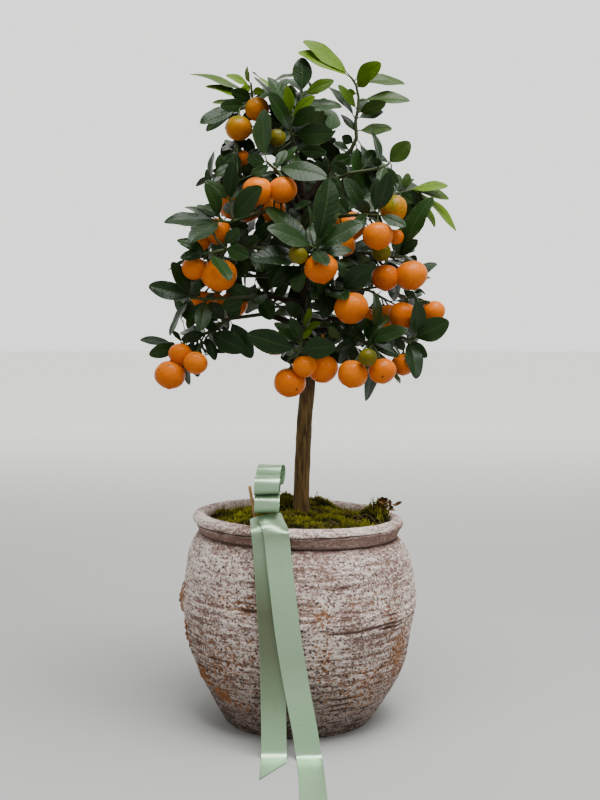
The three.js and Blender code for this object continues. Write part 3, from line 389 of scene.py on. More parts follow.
SPRAYS = (
    Spray(
        "top_right", 205,
        shoots=(
            (
                (330, 168, -6), (351, 150, -12), (356.5, 138, -15), (355.5, 121, -15), (358, 109, -15),
                (358.5, 97, -15), (356, 85, -15), (351, 77, -15),
            ),
        ),
        leaves=(
            (350, 76, 303, 41, -10, 17, .85), (351, 79, 298, 52.5, -20, 16, .9), (353, 80, 381, 63, -20, 22, 1),
            (357, 87, 371, 72, -32, 15, 1), (356, 82, 405, 84, 12, 11, .3), (358.5, 100, 410, 101, -5, 12, .25),
            (358, 112, 386, 102.5, -12, 15, .3), (357, 118, 383, 111.5, 10, 10),
            (356, 130, 392, 129, -8, 12, .3), (356, 133, 341, 114.5, 12, 7), (355.5, 119, 328, 87, 8, 8),
            (357, 110, 338, 85, -10, 10, .5), (356.5, 141, 362, 197, -26, 20), (357, 137, 379, 193, -6, 14),
        ),
        small=((358, 93, 346, 92, 12, 8, .9), (355, 143, 342, 136, -6, 10), (351, 150, 334.5, 142, 0, 6),),
    ),
    Spray(
        "top_centre", 198,
        shoots=(
            ((299, 162, -8), (294, 144, -24), (290, 129, -34), (291, 114, -38)),
            ((293, 125, -36), (299, 108, -32), (303, 93, -28)),
        ),
        leaves=(
            (303, 94, 302, 57.5, 5, 20), (303, 95, 334, 80.5, -8, 14, .55), (291, 114, 287, 86, -16, 14, 1),
            (291, 114, 315, 96, -14, 13, .85), (290, 130, 254, 77, -6, 7), (291, 118, 268, 77, 12, 13),
            (290, 124, 253, 73, 18, 10, .9), (290, 130, 267, 93, -14, 15), (299, 110, 342, 106.5, 8, 12),
            (291, 128, 315, 107, -14, 15), (293, 134, 334, 133, -16, 22), (296, 148, 327, 153, -6, 14),
            (297, 152, 292, 170, -20, 12),
        ),
        small=((290, 128, 281, 144, -12, 9),),
        bunches=(((277, 138, -54, 9.2, Peel.OLIVE),),),
    ),
    Spray(
        "top_left", 190,
        shoots=(
            ((283, 160, -10), (267, 138, -10), (257, 114, -2), (252, 96, 0), (251, 83, 0)),
            ((256, 109, -6), (247, 105, -14), (239, 109, -20)),
        ),
        leaves=(
            (252, 94, 190, 74.5, -4, 6, .45), (252, 100, 205.5, 86.5, -10, 9, .8), (244, 106, 212, 103, 6, 6, .5),
            (252, 86, 226, 75, -6, 9, .9), (252, 94, 231, 91, -20, 14), (247, 106, 220, 106, -8, 14),
            (239, 109, 200, 123.5, -12, 14), (240, 109, 206, 131, 8, 11),
        ),
        small=(
            (251, 84, 247, 66.5, 4, 5, .8), (252, 86, 264, 91, -14, 8, .9), (251, 86, 240, 91, -14, 9, .95),
        ),
        bunches=(
            ((238.6, 128, -26, 13.3, Peel.RIPENING),),
            ((257, 109, -27, 12, Peel.RIPENING),),
        ),
    ),
    Spray(
        "left_upper", 228,
        shoots=(
            ((272, 209, -26), (250, 216, -46), (230, 222, -60), (218, 221, -58)),
            ((232, 220, -58), (230, 200, -54), (237, 178, -40), (238, 158, -32), (236, 143, -28)),
            ((222, 222, -58), (213, 205, -46), (211, 186, -40)),
        ),
        leaves=(
            (211, 187, 214, 151, 5, 6), (237, 152, 222, 165, -8, 11), (237, 146, 241, 178, -14, 9),
            (237, 164, 215, 176, -10, 10), (230, 202, 234, 161, -18, 16), (230, 200, 205, 181, -10, 12),
            (219, 221, 205, 183, -18, 14), (230, 222, 262, 187, -38, 22), (221, 221, 164, 222.5, 0, 14),
            (218, 221, 184.5, 207, 16, 8), (220, 221, 190, 243, -10, 16),
        ),
        small=((211, 187, 207, 169, -3, 7), (220, 221, 197, 205, 10, 8),),
        bunches=(((241, 158, -12, 8.5, Peel.RIPE),),),
    ),
    Spray(
        "upper_front", 212,
        shoots=(((292, 186, -40), (277, 171, -74), (266, 161, -84)),),
        leaves=(
            (272, 168, 327, 178, -16, 19), (266, 161, 263, 110, 26, 20), (267, 162, 247, 158, -4, 13),
            (279, 174, 297, 146, 16, 9),
        ),
        small=((270, 165, 251, 174, -8, 11), (274, 169, 286, 150, 12, 10),),
        bunches=(((283, 189.5, -77, 14, Peel.RIPE), (256.5, 191, -78, 15, Peel.RIPE),),),
    ),
    Spray(
        "left_middle", 262,
        shoots=(
            ((268, 249, -34), (240, 247, -60), (218, 251, -74), (204, 254, -76)),
            ((226, 249, -68), (216, 239, -74), (212, 228, -74)),
        ),
        leaves=(
            (206, 253, 177, 240, 0, 10), (206, 254, 180, 258, -6, 11), (209, 253, 229, 281, -30, 13),
            (223, 248, 249, 257, -16, 17), (221, 246, 239, 228, -6, 12), (240, 248, 258, 236, -12, 12),
            (252, 249, 262, 272, -14, 13),
        ),
        bunches=(
            ((217, 231, -38, 13.5, Peel.RIPE), (199, 243, -42, 9, Peel.RIPE),),
            ((194, 268, -58, 12.4, Peel.RIPE), (220, 275, -69, 18, Peel.RIPE),),
        ),
    ),
    Spray(
        "left_lower", 305,
        shoots=(((268, 296, -26), (230, 298, -44), (206, 299, -50), (190, 298, -46)),),
        leaves=(
            (190, 298, 172, 262, -6, 16), (190, 298, 148.5, 286, -4, 19), (191, 298, 170, 336, -2, 7),
            (206, 299, 187, 328, 4, 13), (205, 299, 200, 331, -20, 17), (246, 297, 222, 308, -8, 16),
            (254, 296, 226, 287, -12, 15), (266, 296, 271, 320, -16, 18),
        ),
        small=((193, 298, 201, 281, -12, 8), (258, 297, 262, 304, -34, 14),),
    ),
    Spray(
        "lower_left", 328,
        shoots=(((264, 314, -14), (228, 319, -26), (207, 333, -32), (186, 342, -24), (174, 347, -22)),),
        leaves=(
            (206, 333, 181, 340, -10, 12), (175, 347, 140, 340, 2, 9), (175, 347, 149, 355, -10, 15),
            (203, 336, 215, 360.5, -10, 11), (196, 339, 183, 368, -8, 11), (186, 342, 189, 385, 16, 10),
            (199, 338, 197, 377, 14, 14), (208, 333, 245, 351, -18, 23), (228, 319, 252, 358, -6, 20),
            (224, 321, 209, 303, -8, 16), (226, 320, 239, 304, -6, 15),
        ),
        small=((177, 346, 163, 345, 6, 5), (181, 344, 171, 330, 4, 5),),
        bunches=(
            (
                (170, 375, -50, 15.6, Peel.RIPE), (181, 354, -46, 12, Peel.RIPE),
                (196.5, 362.6, -52, 12.2, Peel.RIPE),
            ),
        ),
    ),
    Spray(
        "lower_centre", 312,
        shoots=(((306, 314, -40), (304, 329, -64), (301, 344, -77), (297, 356, -79)),),
        leaves=(
            (299, 352, 247, 334, -12, 25), (301, 344, 290, 318, -14, 12), (300, 346, 274, 323, -4, 12),
            (299, 350, 336, 347, -18, 23), (305, 320, 286, 302, -12, 14),
        ),
        small=(
            (304, 330, 309, 308, -16, 8, .7), (304, 332, 321, 323, -12, 7, .8), (302, 340, 312, 331, -10, 6, .9),
            (306, 316, 308, 290, -8, 6),
        ),
        bunches=(
            (
                (304.5, 366, -72, 12.2, Peel.RIPE), (289.6, 382, -58, 16, Peel.RIPE),
                (322.8, 368.7, -53, 15, Peel.RIPE),
            ),
        ),
    ),
    Spray(
        "centre", 276,
        shoots=(((307, 266, -48), (311, 257, -88), (315, 248, -114)),),
        leaves=(
            (314, 248, 267, 228, -14, 18), (315, 248, 329, 178, 2, 27), (312, 254, 266, 207, 16, 18),
            (315, 248, 363, 223, 6, 20), (315, 248, 327, 266, -24, 14), (315, 248, 334, 224, -8, 8),
            (312, 254, 352, 250, 16, 13), (308, 264, 299, 292, -44, 15), (310, 260, 250, 259, -12, 19),
            (308, 264, 272, 286, -14, 16), (309, 262, 330, 285, 10, 16),
        ),
        bunches=(
            ((298, 255, -118, 9.8, Peel.OLIVE),),
            ((321, 267.5, -107, 16.6, Peel.RIPE),),
        ),
    ),
    Spray(
        "right_centre", 292,
        shoots=(
            ((323, 290, -36), (334, 290, -60), (341, 291, -72)),
            ((331, 290, -54), (334, 270, -62), (333, 254, -66)),
        ),
        leaves=(
            (341, 291, 371, 266, -20, 24), (333, 256, 347, 282, -12, 9), (330, 290, 310, 297, -26, 14),
            (334, 268, 318, 290, -14, 12), (336, 291, 322, 318, -16, 16),
        ),
        small=((330, 290, 345, 300, -50, 14),),
        bunches=(((351, 308, -80, 17, Peel.RIPE),),),
    ),
    Spray(
        "right_middle", 260,
        shoots=(((336, 252, -24), (368, 253, -36), (392, 257, -44), (403, 257, -46)),),
        leaves=(
            (402, 257, 433, 197, -8, 19), (402, 257, 418, 240, -16, 12), (397, 257, 400, 230, -4, 10),
            (393, 257, 412, 222, 4, 16), (384, 256, 396, 300, 12, 18),
        ),
        small=((376, 254, 372, 262, -20, 9),),
        bunches=(
            ((411, 275, -48, 16, Peel.RIPE), (383, 277, -56, 14.2, Peel.RIPE),),
            ((381.5, 252, -62, 9.5, Peel.OLIVE),),
            ((396.5, 237, -58, 7.5, Peel.RIPE),),
        ),
    ),
    Spray(
        "right_upper", 234,
        shoots=(((330, 217, -34), (355, 215, -64), (371, 215, -82), (379, 215, -87)),),
        leaves=(
            (365, 215, 344, 178, -12, 15), (375, 215, 377, 178, -4, 12), (378, 215, 389, 172, -14, 18),
            (379, 215, 406, 227, -14, 12), (369, 215, 352, 229, -16, 13), (351, 215, 336, 200, 6, 15),
        ),
        small=((371, 215, 358, 199, -14, 12),),
        bunches=(
            ((350, 226, -32, 15.5, Peel.RIPE), (344, 244, -60, 12.5, Peel.RIPE),),
            ((393, 209, -68, 14, Peel.RIPENING),),
            ((378, 235.6, -88, 15, Peel.RIPE),),
        ),
    ),
    Spray(
        "far_right", 222,
        shoots=(((346, 204, -6), (382, 198, -14), (408, 191, -16), (416, 189, -16)),),
        leaves=(
            (410, 190, 448, 186, -8, 12, .95), (412, 190, 449, 199, -2, 11, .55), (414, 190, 456, 231, 6, 10, .9),
            (413, 190, 435, 227, 18, 10, .85), (406, 192, 408, 173, 2, 10, .3), (402, 193, 427, 201, 4, 13),
            (397, 194, 411, 224, 2, 16),
        ),
        small=((396, 194, 414, 179, 8, 7), (400, 193, 413, 203, -16, 12),),
    ),
    Spray(
        "upper_right", 208,
        shoots=(((326, 183, -26), (350, 173, -40), (376, 169, -42), (389, 164, -38)),),
        leaves=(
            (350, 173, 331, 163, -16, 13), (330, 181, 316, 161, -8, 12), (388, 165, 410, 142, -6, 20, .35),
            (382, 167, 370, 128.5, 6, 7), (342, 176, 330, 190, 2, 14), (362, 170, 374, 150, 10, 14),
        ),
        small=((380, 168, 376, 158, -8, 9), (388, 165, 398, 183, -8, 10), (386, 165, 379, 182, -16, 10),),
    ),
    Spray(
        "lower_right", 332,
        shoots=(((336, 330, -28), (360, 340, -56), (374, 347, -66)),),
        leaves=(
            (335, 330, 357, 337, -34, 17), (361, 341, 335, 351, -10, 14), (374, 347, 373, 290, 0, 10),
            (372, 346, 366, 318, -10, 12), (374, 347, 382, 311, 8, 9), (374, 347, 390, 319, -8, 9),
            (374, 347, 408, 330, -10, 15), (374, 347, 399, 357, 6, 12), (370, 345, 366, 401, 16, 14),
            (358, 339, 350, 316, -10, 16), (350, 336, 362, 322, 8, 14),
        ),
        small=((346, 334, 339, 364, 6, 8), (374, 347, 400.5, 383.5, 10, 9),),
        bunches=(
            ((352.7, 374, -84, 15, Peel.RIPE),),
            ((382, 370.8, -82, 14, Peel.RIPE),),
            ((368, 357.5, -98, 9.2, Peel.OLIVE),),
        ),
    ),
    Spray(
        "lower_far_right", 318,
        shoots=(
            ((342, 319, -10), (378, 328, -22), (402, 338, -34), (413, 340, -36)),
            ((413, 340, -36), (420, 323, -30), (419, 305, -32), (413, 292, -34)),
        ),
        leaves=(
            (412, 340, 417, 301, -34, 16), (413, 340, 449, 321, -14, 24), (413, 340, 427, 357.5, -6, 12),
            (408, 340, 416, 379, -26, 17),
        ),
        small=((416, 298, 404, 289, -8, 9), (413, 292, 422, 290, -2, 4), (395, 336, 404, 350, 12, 10),),
        bunches=(
            ((403, 315.5, -44, 15, Peel.RIPE),),
            ((433, 312, -22, 12, Peel.RIPE),),
            ((403, 365, -44, 12, Peel.RIPE),),
        ),
    ),
)

REAR_LIMBS = (
    RearLimb("rear_top", 75, 194, 58, 88, False),
    RearLimb("rear_upper_left", 128, 218, 104, 42, True),
    RearLimb("rear_upper_right", 48, 228, 104, 34, False),
    RearLimb("rear_left", 148, 288, 136, 2, True),
    RearLimb("rear_right", 30, 298, 132, -4, True),
    RearLimb("rear_low", 90, 322, 128, -8, True),
)

# Middle of the stem from its root up, in the front view where that shows it
STEM_PATH = np.array(
    [
        vec(3.8, 0, TRUNK_ROOT_HEIGHT),
        vec(3.8, 0, 178),
        VIEW.place(301.5, 514, 0),
        VIEW.place(301.3, 495, 0),
        VIEW.place(302.8, 455, 0),
        VIEW.place(304.7, 418, 0),
        VIEW.place(307.5, 390, 0),
        VIEW.place(309, 360, 0),
        VIEW.place(307, 320, 3),
        VIEW.place(304, 270, 0),
        VIEW.place(303, 225, -3),
        VIEW.place(301, 180, 0),
    ]
)

# Side shoots of a rear limb: place on it, turn in degrees, share of its reach, lift of the tip
REAR_SIDES = ((1.4, 48, 0.62, 26), (1.75, -50, 0.6, 4))
REAR_SIDE_RISE = 8
# Fruits of its bunch: distance over touching, turn from the limb, size
REAR_BUNCH = ((0, 0, 1), (1, 105, 0.92), (1, -112, 1.06))
REAR_BUNCH_PLACE = 2.45
REAR_ARCH = 16
REAR_SWING = 8

# How the part may bend a fruit's stalk aside
STALK_BENDS = (
    (0, 0, 0), (6, 0, 0), (-6, 0, 0), (0, 6, 0), (0, -6, 0), (0, 0, 6), (10, 0, 4), (-10, 0, 4), (0, 10, 4),
    (0, -10, 4), (7, 7, 2), (-7, 7, 2), (7, -7, 2), (-7, -7, 2), (14, 0, 2), (-14, 0, 2), (0, 14, 2),
)
# What the part tries in turn: a listed leaf's tip further back, a rule leaf shorter or turned
TIP_SHIFTS = (0, -7, 7, -14, 14, -22, 22, -30, 30, -38, 38)
FILL_LENGTHS = (1, 0.84, 0.7)
FILL_TURNS = (0, 0.5, -0.5, 1, -1)

# Where the front view looks past the crown's inner leaves, and through its gaps
CROWN_INSIDE = (
    (240, 92), (262, 82), (298, 68), (322, 92), (330, 130), (352, 150), (378, 146), (398, 172), (424, 200),
    (418, 250), (424, 300), (432, 326), (408, 352), (396, 372), (352, 372), (318, 366), (290, 368),
    (262, 344), (214, 358), (176, 352), (182, 318), (166, 288), (184, 262), (196, 234), (184, 222),
    (208, 196), (214, 160), (226, 134), (218, 114),
)
CROWN_GAPS = (
    ((205, 297), (224, 291), (213, 309)),
    ((246, 273), (255, 273), (255, 282), (246, 282)),
    ((232, 304), (282, 320), (276, 334), (230, 324)),
    ((262, 156), (272, 156), (272, 170), (262, 170)),
    ((280, 327), (289, 327), (289, 336), (280, 336)),
    ((366, 280), (376, 284), (376, 350), (366, 346)),
    ((378, 292), (392, 292), (392, 313), (378, 313)),
    ((400, 346), (408, 346), (408, 355), (400, 355)),
)
# Leaves inside the crown that the front view shows: root, tip and greatest width in it
INNER_LEAVES = (
    (289, 263, 270, 287, 19), (289, 281, 301, 321, 17), (311, 299, 326, 300, 14), (343, 298, 325, 302, 12),
    (263, 288, 226, 304, 15), (258, 262, 229, 275, 14), (310, 281, 334, 294, 13), (300, 240, 276, 222, 14),
    (354, 156, 332, 163, 13), (344, 175, 361, 199, 16), (286, 262, 262, 268, 12), (280, 295, 252, 300, 12),
)
# Depths at which they are tried, and how much further back their tips may be than their roots
INNER_DEPTHS = tuple(range(-60, 100, 8))
INNER_LEANS = (-12, 0, 12)
# Height and radius of the crown all round, where its axis is and how far leaves stay in from the part's bounds
CROWN_PROFILE = (
    (340, 110), (365, 138), (395, 158), (450, 158), (505, 146), (560, 134), (610, 118), (670, 98), (720, 60),
)
CROWN_AXIS = 4
CROWN_MARGIN = 3


@dataclass
class Leaf:
    """A leaf: its root, tip and width, and the direction that its face looks in."""

    root: Array
    tip: Array
    width: float
    face: Array
    youth: float = 0.0

    def half_width(self, share: Array) -> Array:
        """Half the blade's width at shares of the leaf's length."""
        along = np.clip((share - PETIOLE) / (1 - PETIOLE), 0, 1)
        return 0.5 * self.width * np.maximum(np.sin(math.pi * along), 0) ** (0.95 - 0.42 * along)

    def surface(self, share: Array, side: Array) -> Array:
        """Points of the middle surface.

        Args:
            share: Shares of the length.
            side: From -1 at one edge to 1 at the other.

        Returns:
            The points, in the shape of share and side.
        """
        run = self.tip - self.root
        length = np.linalg.norm(run)
        across = np.cross(run / length, self.face)
        half = self.half_width(share)
        rise = BLADE_ARCH * length * 4 * share * (1 - share) + np.abs(side) * half * math.sin(BLADE_FOLD)
        aside = side * half * math.cos(BLADE_FOLD)
        return self.root + run * share[..., None] + self.face * rise[..., None] + across * aside[..., None]


def seen_leaf(root: Array, tip: Array, width_seen: float, youth: float) -> Leaf:
    """A leaf from what the front view shows of it.

    Args:
        root: Its root.
        tip: Its tip.
        width_seen: Its greatest width in the view, in pixels.
        youth: From 0 to 1.

    Returns:
        The leaf, rolled about its midrib until it looks as wide as that.
    """
    seen_width = width_seen * VIEW.pixel((root[1] + tip[1]) / 2)
    true_width = max(seen_width, BLADE_RATIO * float(np.linalg.norm(tip - root)))
    along, middle = unit(tip - root), (root + tip) / 2
    lift = unit(vec(np.sign(middle[0]) * 0.3, 0.1, 1))
    facing = unit(VIEW.eye - middle)
    facing = facing - along * (facing @ along)
    if np.linalg.norm(facing) < 0.25:
        return Leaf(root, tip, true_width, unit(lift - along * (lift @ along)), youth)
    facing = unit(facing)
    turned = np.cross(along, facing)
    turned = turned if turned @ lift >= 0 else -turned
    roll = math.acos(min(1, seen_width / true_width))
    return Leaf(root, tip, true_width, unit(facing * math.cos(roll) + turned * math.sin(roll)), youth)


@dataclass
class Fruit:
    """A fruit, with the direction from its centre to its stalk and where that holds."""

    centre: Array
    radius: float
    peel: Peel
    hold: Array = field(default_factory=lambda: vec(0, 0, 0))
    axis: Array = field(default_factory=lambda: vec(0, 0, 1))

    def hang(self, hold: Array) -> None:
        """Hangs the fruit from a place on a twig."""
        self.hold = hold
        self.axis = unit(unit(hold - self.centre) + vec(0, 0, 0.9))


@dataclass
class Near:
    """The place on some shoots that was nearest by a measure."""

    miss: float
    index: int
    at: float
    point: Array


@dataclass
class Limb:
    """A limb in space: its shoots, the bunches that hang on it, and its leaves."""

    name: str
    shoots: list[Array]
    behind: bool
    fill: int
    bunches: list[list[Fruit]] = field(default_factory=list)
    leaves: list[Leaf] = field(default_factory=list)
    twiglets: list[Array] = field(default_factory=list)

    def places(self) -> list[Array]:
        """Places along the shoots from which a twiglet may grow."""
        found = []
        for index, shoot in enumerate(self.shoots):
            start, last = SIDE_START if index else HOLD_START, len(shoot) - 1
            found += list(on_twig(shoot, np.linspace(start, last, HOLD_STEPS * last)))
        return found

    def fruits(self) -> list[Fruit]:
        """The fruits of all its bunches."""
        return [fruit for bunch in self.bunches for fruit in bunch]

    def nearest(self, measure: Callable[[Array], Array]) -> Near:
        """The place on the shoots with the least of a measure.

        Args:
            measure: Gives a number for each of some points.

        Returns:
            The place.
        """
        best = None
        for index, shoot in enumerate(self.shoots):
            last = len(shoot) - 1
            steps = NEAREST_STEPS * last
            at = np.arange(steps + 1) * last / steps
            at = at[at >= (SIDE_START if index else MAIN_START)]
            points = on_twig(shoot, at)
            miss = measure(points)
            k = int(np.argmin(miss))
            if best is None or miss[k] < best.miss:
                best = Near(float(miss[k]), index, float(at[k]), points[k])
        return best

    def root_at(self, near: Near, back: float) -> Array:
        """The place a length back along the shoot from one that was found.

        Args:
            near: The place that was found.
            back: The length.

        Returns:
            The place.
        """
        shoot = self.shoots[near.index]
        step = max(math.ceil(near.at), 1)
        share = back / np.linalg.norm(shoot[step - 1] - shoot[step])
        return on_twig(shoot, max(near.at - share, SIDE_START if near.index else MAIN_START))

    def rule_leaves(self, index: int, count: int, dice: Dice, size: float = 1.0) -> list[Leaf]:
        """Places for a leaf that the front view doesn't settle, by the golden angle.

        Args:
            index: Its number on the limb.
            count: How many such leaves the limb has.
            dice: Random numbers, of which it takes two.
            size: Its length over that of the part's own.

        Returns:
            The leaves to choose from, the best first.
        """
        shoot = self.shoots[index % len(self.shoots)]
        first = FILL_SIDE_START if index % len(self.shoots) else FILL_MAIN_START
        share = (index // len(self.shoots) + 0.5) / math.ceil(count / len(self.shoots))
        at = first + (len(shoot) - 1 - first) * min(share, 1)
        root, along = on_twig(shoot, at), curve_direction(shoot, at)
        length = size * FILL_LENGTH * (0.85 + 0.35 * dice.roll())
        start = index * GOLDEN_ANGLE + dice.roll() * 0.6
        outward = unit(root * vec(1, 1, 0))
        side = unit(np.cross(vec(0, 0, 1), along))
        over = np.cross(along, side)
        found = []
        for turn in FILL_TURNS:
            for scale in FILL_LENGTHS:
                away = side * math.cos(start + turn) + over * math.sin(start + turn)
                run = along * 0.5 + away * 0.8 + outward * 0.3
                if not self.behind:
                    run[1] = abs(run[1]) + 0.3
                run = unit(run)
                face = outward * 0.6 + vec(0, 0, 0.8)
                face = unit(face - run * (face @ run))
                tip = root + run * (length * scale)
                found.append(Leaf(root, tip, BLADE_RATIO * length * scale, face))
        return found


def stem_at_row(row: float) -> Array:
    """The place on the stem that the front view shows at a row.

    Args:
        row: The row.

    Returns:
        The place.
    """
    places, at = [], 0.0
    while at <= len(STEM_PATH) - 1:
        places.append(at)
        at += CURVE_STEP
    points = on_curve(STEM_PATH, np.array(places))
    return points[np.argmin(np.abs(VIEW.seen(points)[:, 1] - row))]


def miss_in_view(column: float, row: float) -> Callable[[Array], Array]:
    """A measure of how far from a column and row points are seen."""
    return lambda points: ((VIEW.seen(points) - vec(column, row)) ** 2).sum(axis=-1)


def front_limb(spray: Spray) -> Limb:
    """A limb in space from what the front view shows.

    Args:
        spray: What the view shows.

    Returns:
        The limb with its shoots and fruits.
    """
    main = np.array([stem_at_row(spray.stem_row), *(VIEW.place(*p) for p in spray.shoots[0])])
    limb = Limb(spray.name, [main], behind=False, fill=1)
    sides = []
    for shoot in spray.shoots[1:]:
        points = np.array([VIEW.place(*p) for p in shoot])
        points[0] = limb.nearest(miss_in_view(*shoot[0][:2])).point
        sides.append(points)
    limb.shoots += sides
    limb.bunches = [read_bunch(rows, limb) for rows in spray.bunches]
    return limb


def read_bunch(rows: Sequence[Sequence[float | Peel]], limb: Limb) -> list[Fruit]:
    """The fruits of a bunch, each moved until it touches the one next to it.

    Args:
        rows: Column, row, depth, radius seen and peel of each.
        limb: The limb that they hang on.

    Returns:
        The fruits.
    """
    fruits = [Fruit(VIEW.place(u, v, deep), seen * VIEW.pixel(deep), peel) for u, v, deep, seen, peel in rows]
    for k, fruit in enumerate(fruits[1:], 1):
        mate = min(fruits[:k], key=lambda other: np.linalg.norm(other.centre - fruit.centre) - other.radius)
        reach = FRUIT_TOUCH * (mate.radius + fruit.radius)
        apart = fruit.centre - mate.centre
        flat = apart * vec(1, 0, 1)
        if np.linalg.norm(flat) > reach:
            flat = unit(flat) * reach
        deep = math.sqrt(max(reach**2 - float(flat @ flat), 0))
        fruit.centre = mate.centre + flat + vec(0, deep if apart[1] >= 0 else -deep, 0)
    for fruit in fruits:
        above = fruit.centre + vec(0, 0, fruit.radius + 7)
        near = limb.nearest(lambda points: np.linalg.norm(points - above, axis=-1))
        fruit.hang(limb.root_at(near, ROOT_INSET))
    return fruits


def rear_limb(plan: RearLimb) -> Limb:
    """A limb behind the stem.

    Args:
        plan: Its rule.

    Returns:
        The limb with its shoots and fruits.
    """
    root = stem_at_row(plan.stem_row)
    main = []
    for share in (0, 0.32, 0.66, 1):
        rise = plan.rise * share + REAR_ARCH * math.sin(math.pi * share)
        main.append(root + level(plan.azimuth + REAR_SWING * share) * plan.reach * share + vec(0, 0, rise))
    main = np.array(main)
    shoots = [main]
    for at, turn, share, lift in REAR_SIDES:
        hold, way = on_twig(main, at), level(plan.azimuth + turn) * plan.reach * share
        rises = [(k, vec(0, 0, REAR_SIDE_RISE * k + lift * k * k)) for k in (0, 0.5, 1)]
        shoots.append(np.array([hold + way * k + rise for k, rise in rises]))
    limb = Limb(plan.name, shoots, behind=True, fill=plan.fill)
    if plan.bunch:
        hold = on_twig(main, REAR_BUNCH_PLACE)
        first = hold + level(plan.azimuth) * 6 + vec(0, 0, -REAR_FRUIT_RADIUS - 9)
        fruits = []
        for near, turn, size in REAR_BUNCH:
            radius = REAR_FRUIT_RADIUS * size
            gap = near * (REAR_FRUIT_RADIUS + radius) * FRUIT_TOUCH
            fruit = Fruit(first + level(plan.azimuth + turn) * gap, radius, Peel.RIPE)
            fruit.hang(hold)
            fruits.append(fruit)
        limb.bunches = [fruits]
    return limb


class Packed:
    """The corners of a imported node, to see which of some places the part took."""

    def __init__(self, node: bpy.types.Object) -> None:
        """Reads the corners of a node.

        Args:
            node: The node.
        """
        count = len(node.data.vertices)
        corners = np.empty(count * 3, np.float32)
        node.data.vertices.foreach_get("co", corners)
        self._tree = KDTree(count)
        for k, corner in enumerate(corners.reshape(-1, 3) / MM):
            self._tree.insert(corner, k)
        self._tree.balance()

    def has(self, point: Array, within: float = 0.3) -> bool:
        """Whether a corner lies at a point."""
        return self._tree.find(point)[2] <= within

    def ring(self, centre: Array, radius: float) -> int:
        """How many corners lie at a radius round a centre."""
        return sum(abs(far - radius) < 0.04 for _, _, far in self._tree.find_range(centre, radius + 0.1))


def inside(places: Array, outline: Sequence[Row]) -> Array:
    """Whether columns and rows, along the last axis, lie in an outline.

    Args:
        places: The columns and rows.
        outline: Column and row of each corner of the outline.

    Returns:
        True for each place inside it.
    """
    column, row = places[..., 0], places[..., 1]
    hit = np.zeros(column.shape, bool)
    for (ua, va), (ub, vb) in zip(outline, [*outline[1:], outline[0]], strict=True):
        if va != vb:
            hit ^= ((va > row) != (vb > row)) & (column < ua + (ub - ua) * (row - va) / (vb - va))
    return hit


def in_gap(places: Array) -> Array:
    """Whether columns and rows lie in a see-through gap of the crown."""
    return np.any([inside(places, gap) for gap in CROWN_GAPS], axis=0)


def in_crown(places: Array) -> Array:
    """Whether columns and rows lie in the crown and out of its see-through gaps."""
    return inside(places, CROWN_INSIDE) & ~in_gap(places)


class Cover:
    """The crown from one side, as small squares that are covered or still open."""

    SIZE = 2
    ROWS, COLUMNS = 400, 300
    MIDDLE = 300
    LOWEST, HIGHEST = 385, 670
    WIDTH = 0.75
    NEAREST_DEPTH, FARTHEST_DEPTH = -50, 130
    SIDE_DEPTH = 0.7

    def __init__(self, azimuth: float | None, least: float, tries: int) -> None:
        """Starts with all of the crown open.

        Args:
            azimuth: Degrees from the front towards the right, or None for the front view itself.
            least: Share of a leaf that has to close open squares for it to be added.
            tries: Leaves that are tried.
        """
        self.azimuth = azimuth
        self.least = least
        self.tries = tries
        self.towards = vec(0, -1, 0) if azimuth is None else level(azimuth - 90)
        rows, columns = np.mgrid[0 : self.ROWS, 0 : self.COLUMNS]
        places = (np.stack([columns, rows], axis=-1) + 0.5) * self.SIZE
        self.nearest = np.full(rows.shape, np.inf)
        if azimuth is None:
            self.open = in_crown(places)
        else:
            room = np.interp(places[..., 1], *zip(*CROWN_PROFILE, strict=True), left=0, right=0)
            high = (places[..., 1] > self.LOWEST) & (places[..., 1] < self.HIGHEST)
            self.open = high & (np.abs(places[..., 0] - self.MIDDLE) < room * self.WIDTH)

    def squares(self, points: Array) -> tuple[Array, Array]:
        """The row and column of the square at which each of some points is seen.

        Args:
            points: The points.

        Returns:
            Their rows and their columns.
        """
        if self.azimuth is None:
            places = VIEW.seen(points)
        else:
            places = np.stack([points @ level(self.azimuth) + self.MIDDLE, points[..., 2]], axis=-1)
        column, row = np.moveaxis(np.floor(places / self.SIZE).astype(int), -1, 0)
        return np.clip(row, 0, self.ROWS - 1), np.clip(column, 0, self.COLUMNS - 1)

    def gain(self, points: Array) -> float:
        """The share of some points that are seen in open squares."""
        return float(self.open[self.squares(points)].mean())

    def shade(self, points: Array) -> None:
        """Covers the squares of some points."""
        self.open[self.squares(points)] = False

    def veil(self, points: Array) -> None:
        """Notes points that nothing that is added later may hide."""
        squares = self.squares(points)
        np.minimum.at(self.nearest, squares, points[..., 1])

    def hides(self, points: Array) -> bool:
        """Whether some points lie in front of what was noted."""
        nearest = self.nearest[self.squares(points)]
        return bool((np.isfinite(nearest) & (points[..., 1] < nearest + 2)).any())

    def open_point(self, rng: np.random.Generator) -> Array:
        """A random point in an open square, or in any square if none is open.

        Args:
            rng: Random numbers.

        Returns:
            The point.
        """
        rows, columns = np.nonzero(self.open if self.open.any() else self.nearest > 0)
        pick = int(rng.integers(len(rows)))
        column, row = (columns[pick] + 0.5) * self.SIZE, (rows[pick] + 0.5) * self.SIZE
        depth = rng.uniform(self.NEAREST_DEPTH, self.FARTHEST_DEPTH)
        if self.azimuth is None:
            return VIEW.place(column, row, depth)
        flat = level(self.azimuth) * (column - self.MIDDLE) - self.towards * depth * self.SIDE_DEPTH
        return flat + vec(0, 0, row)


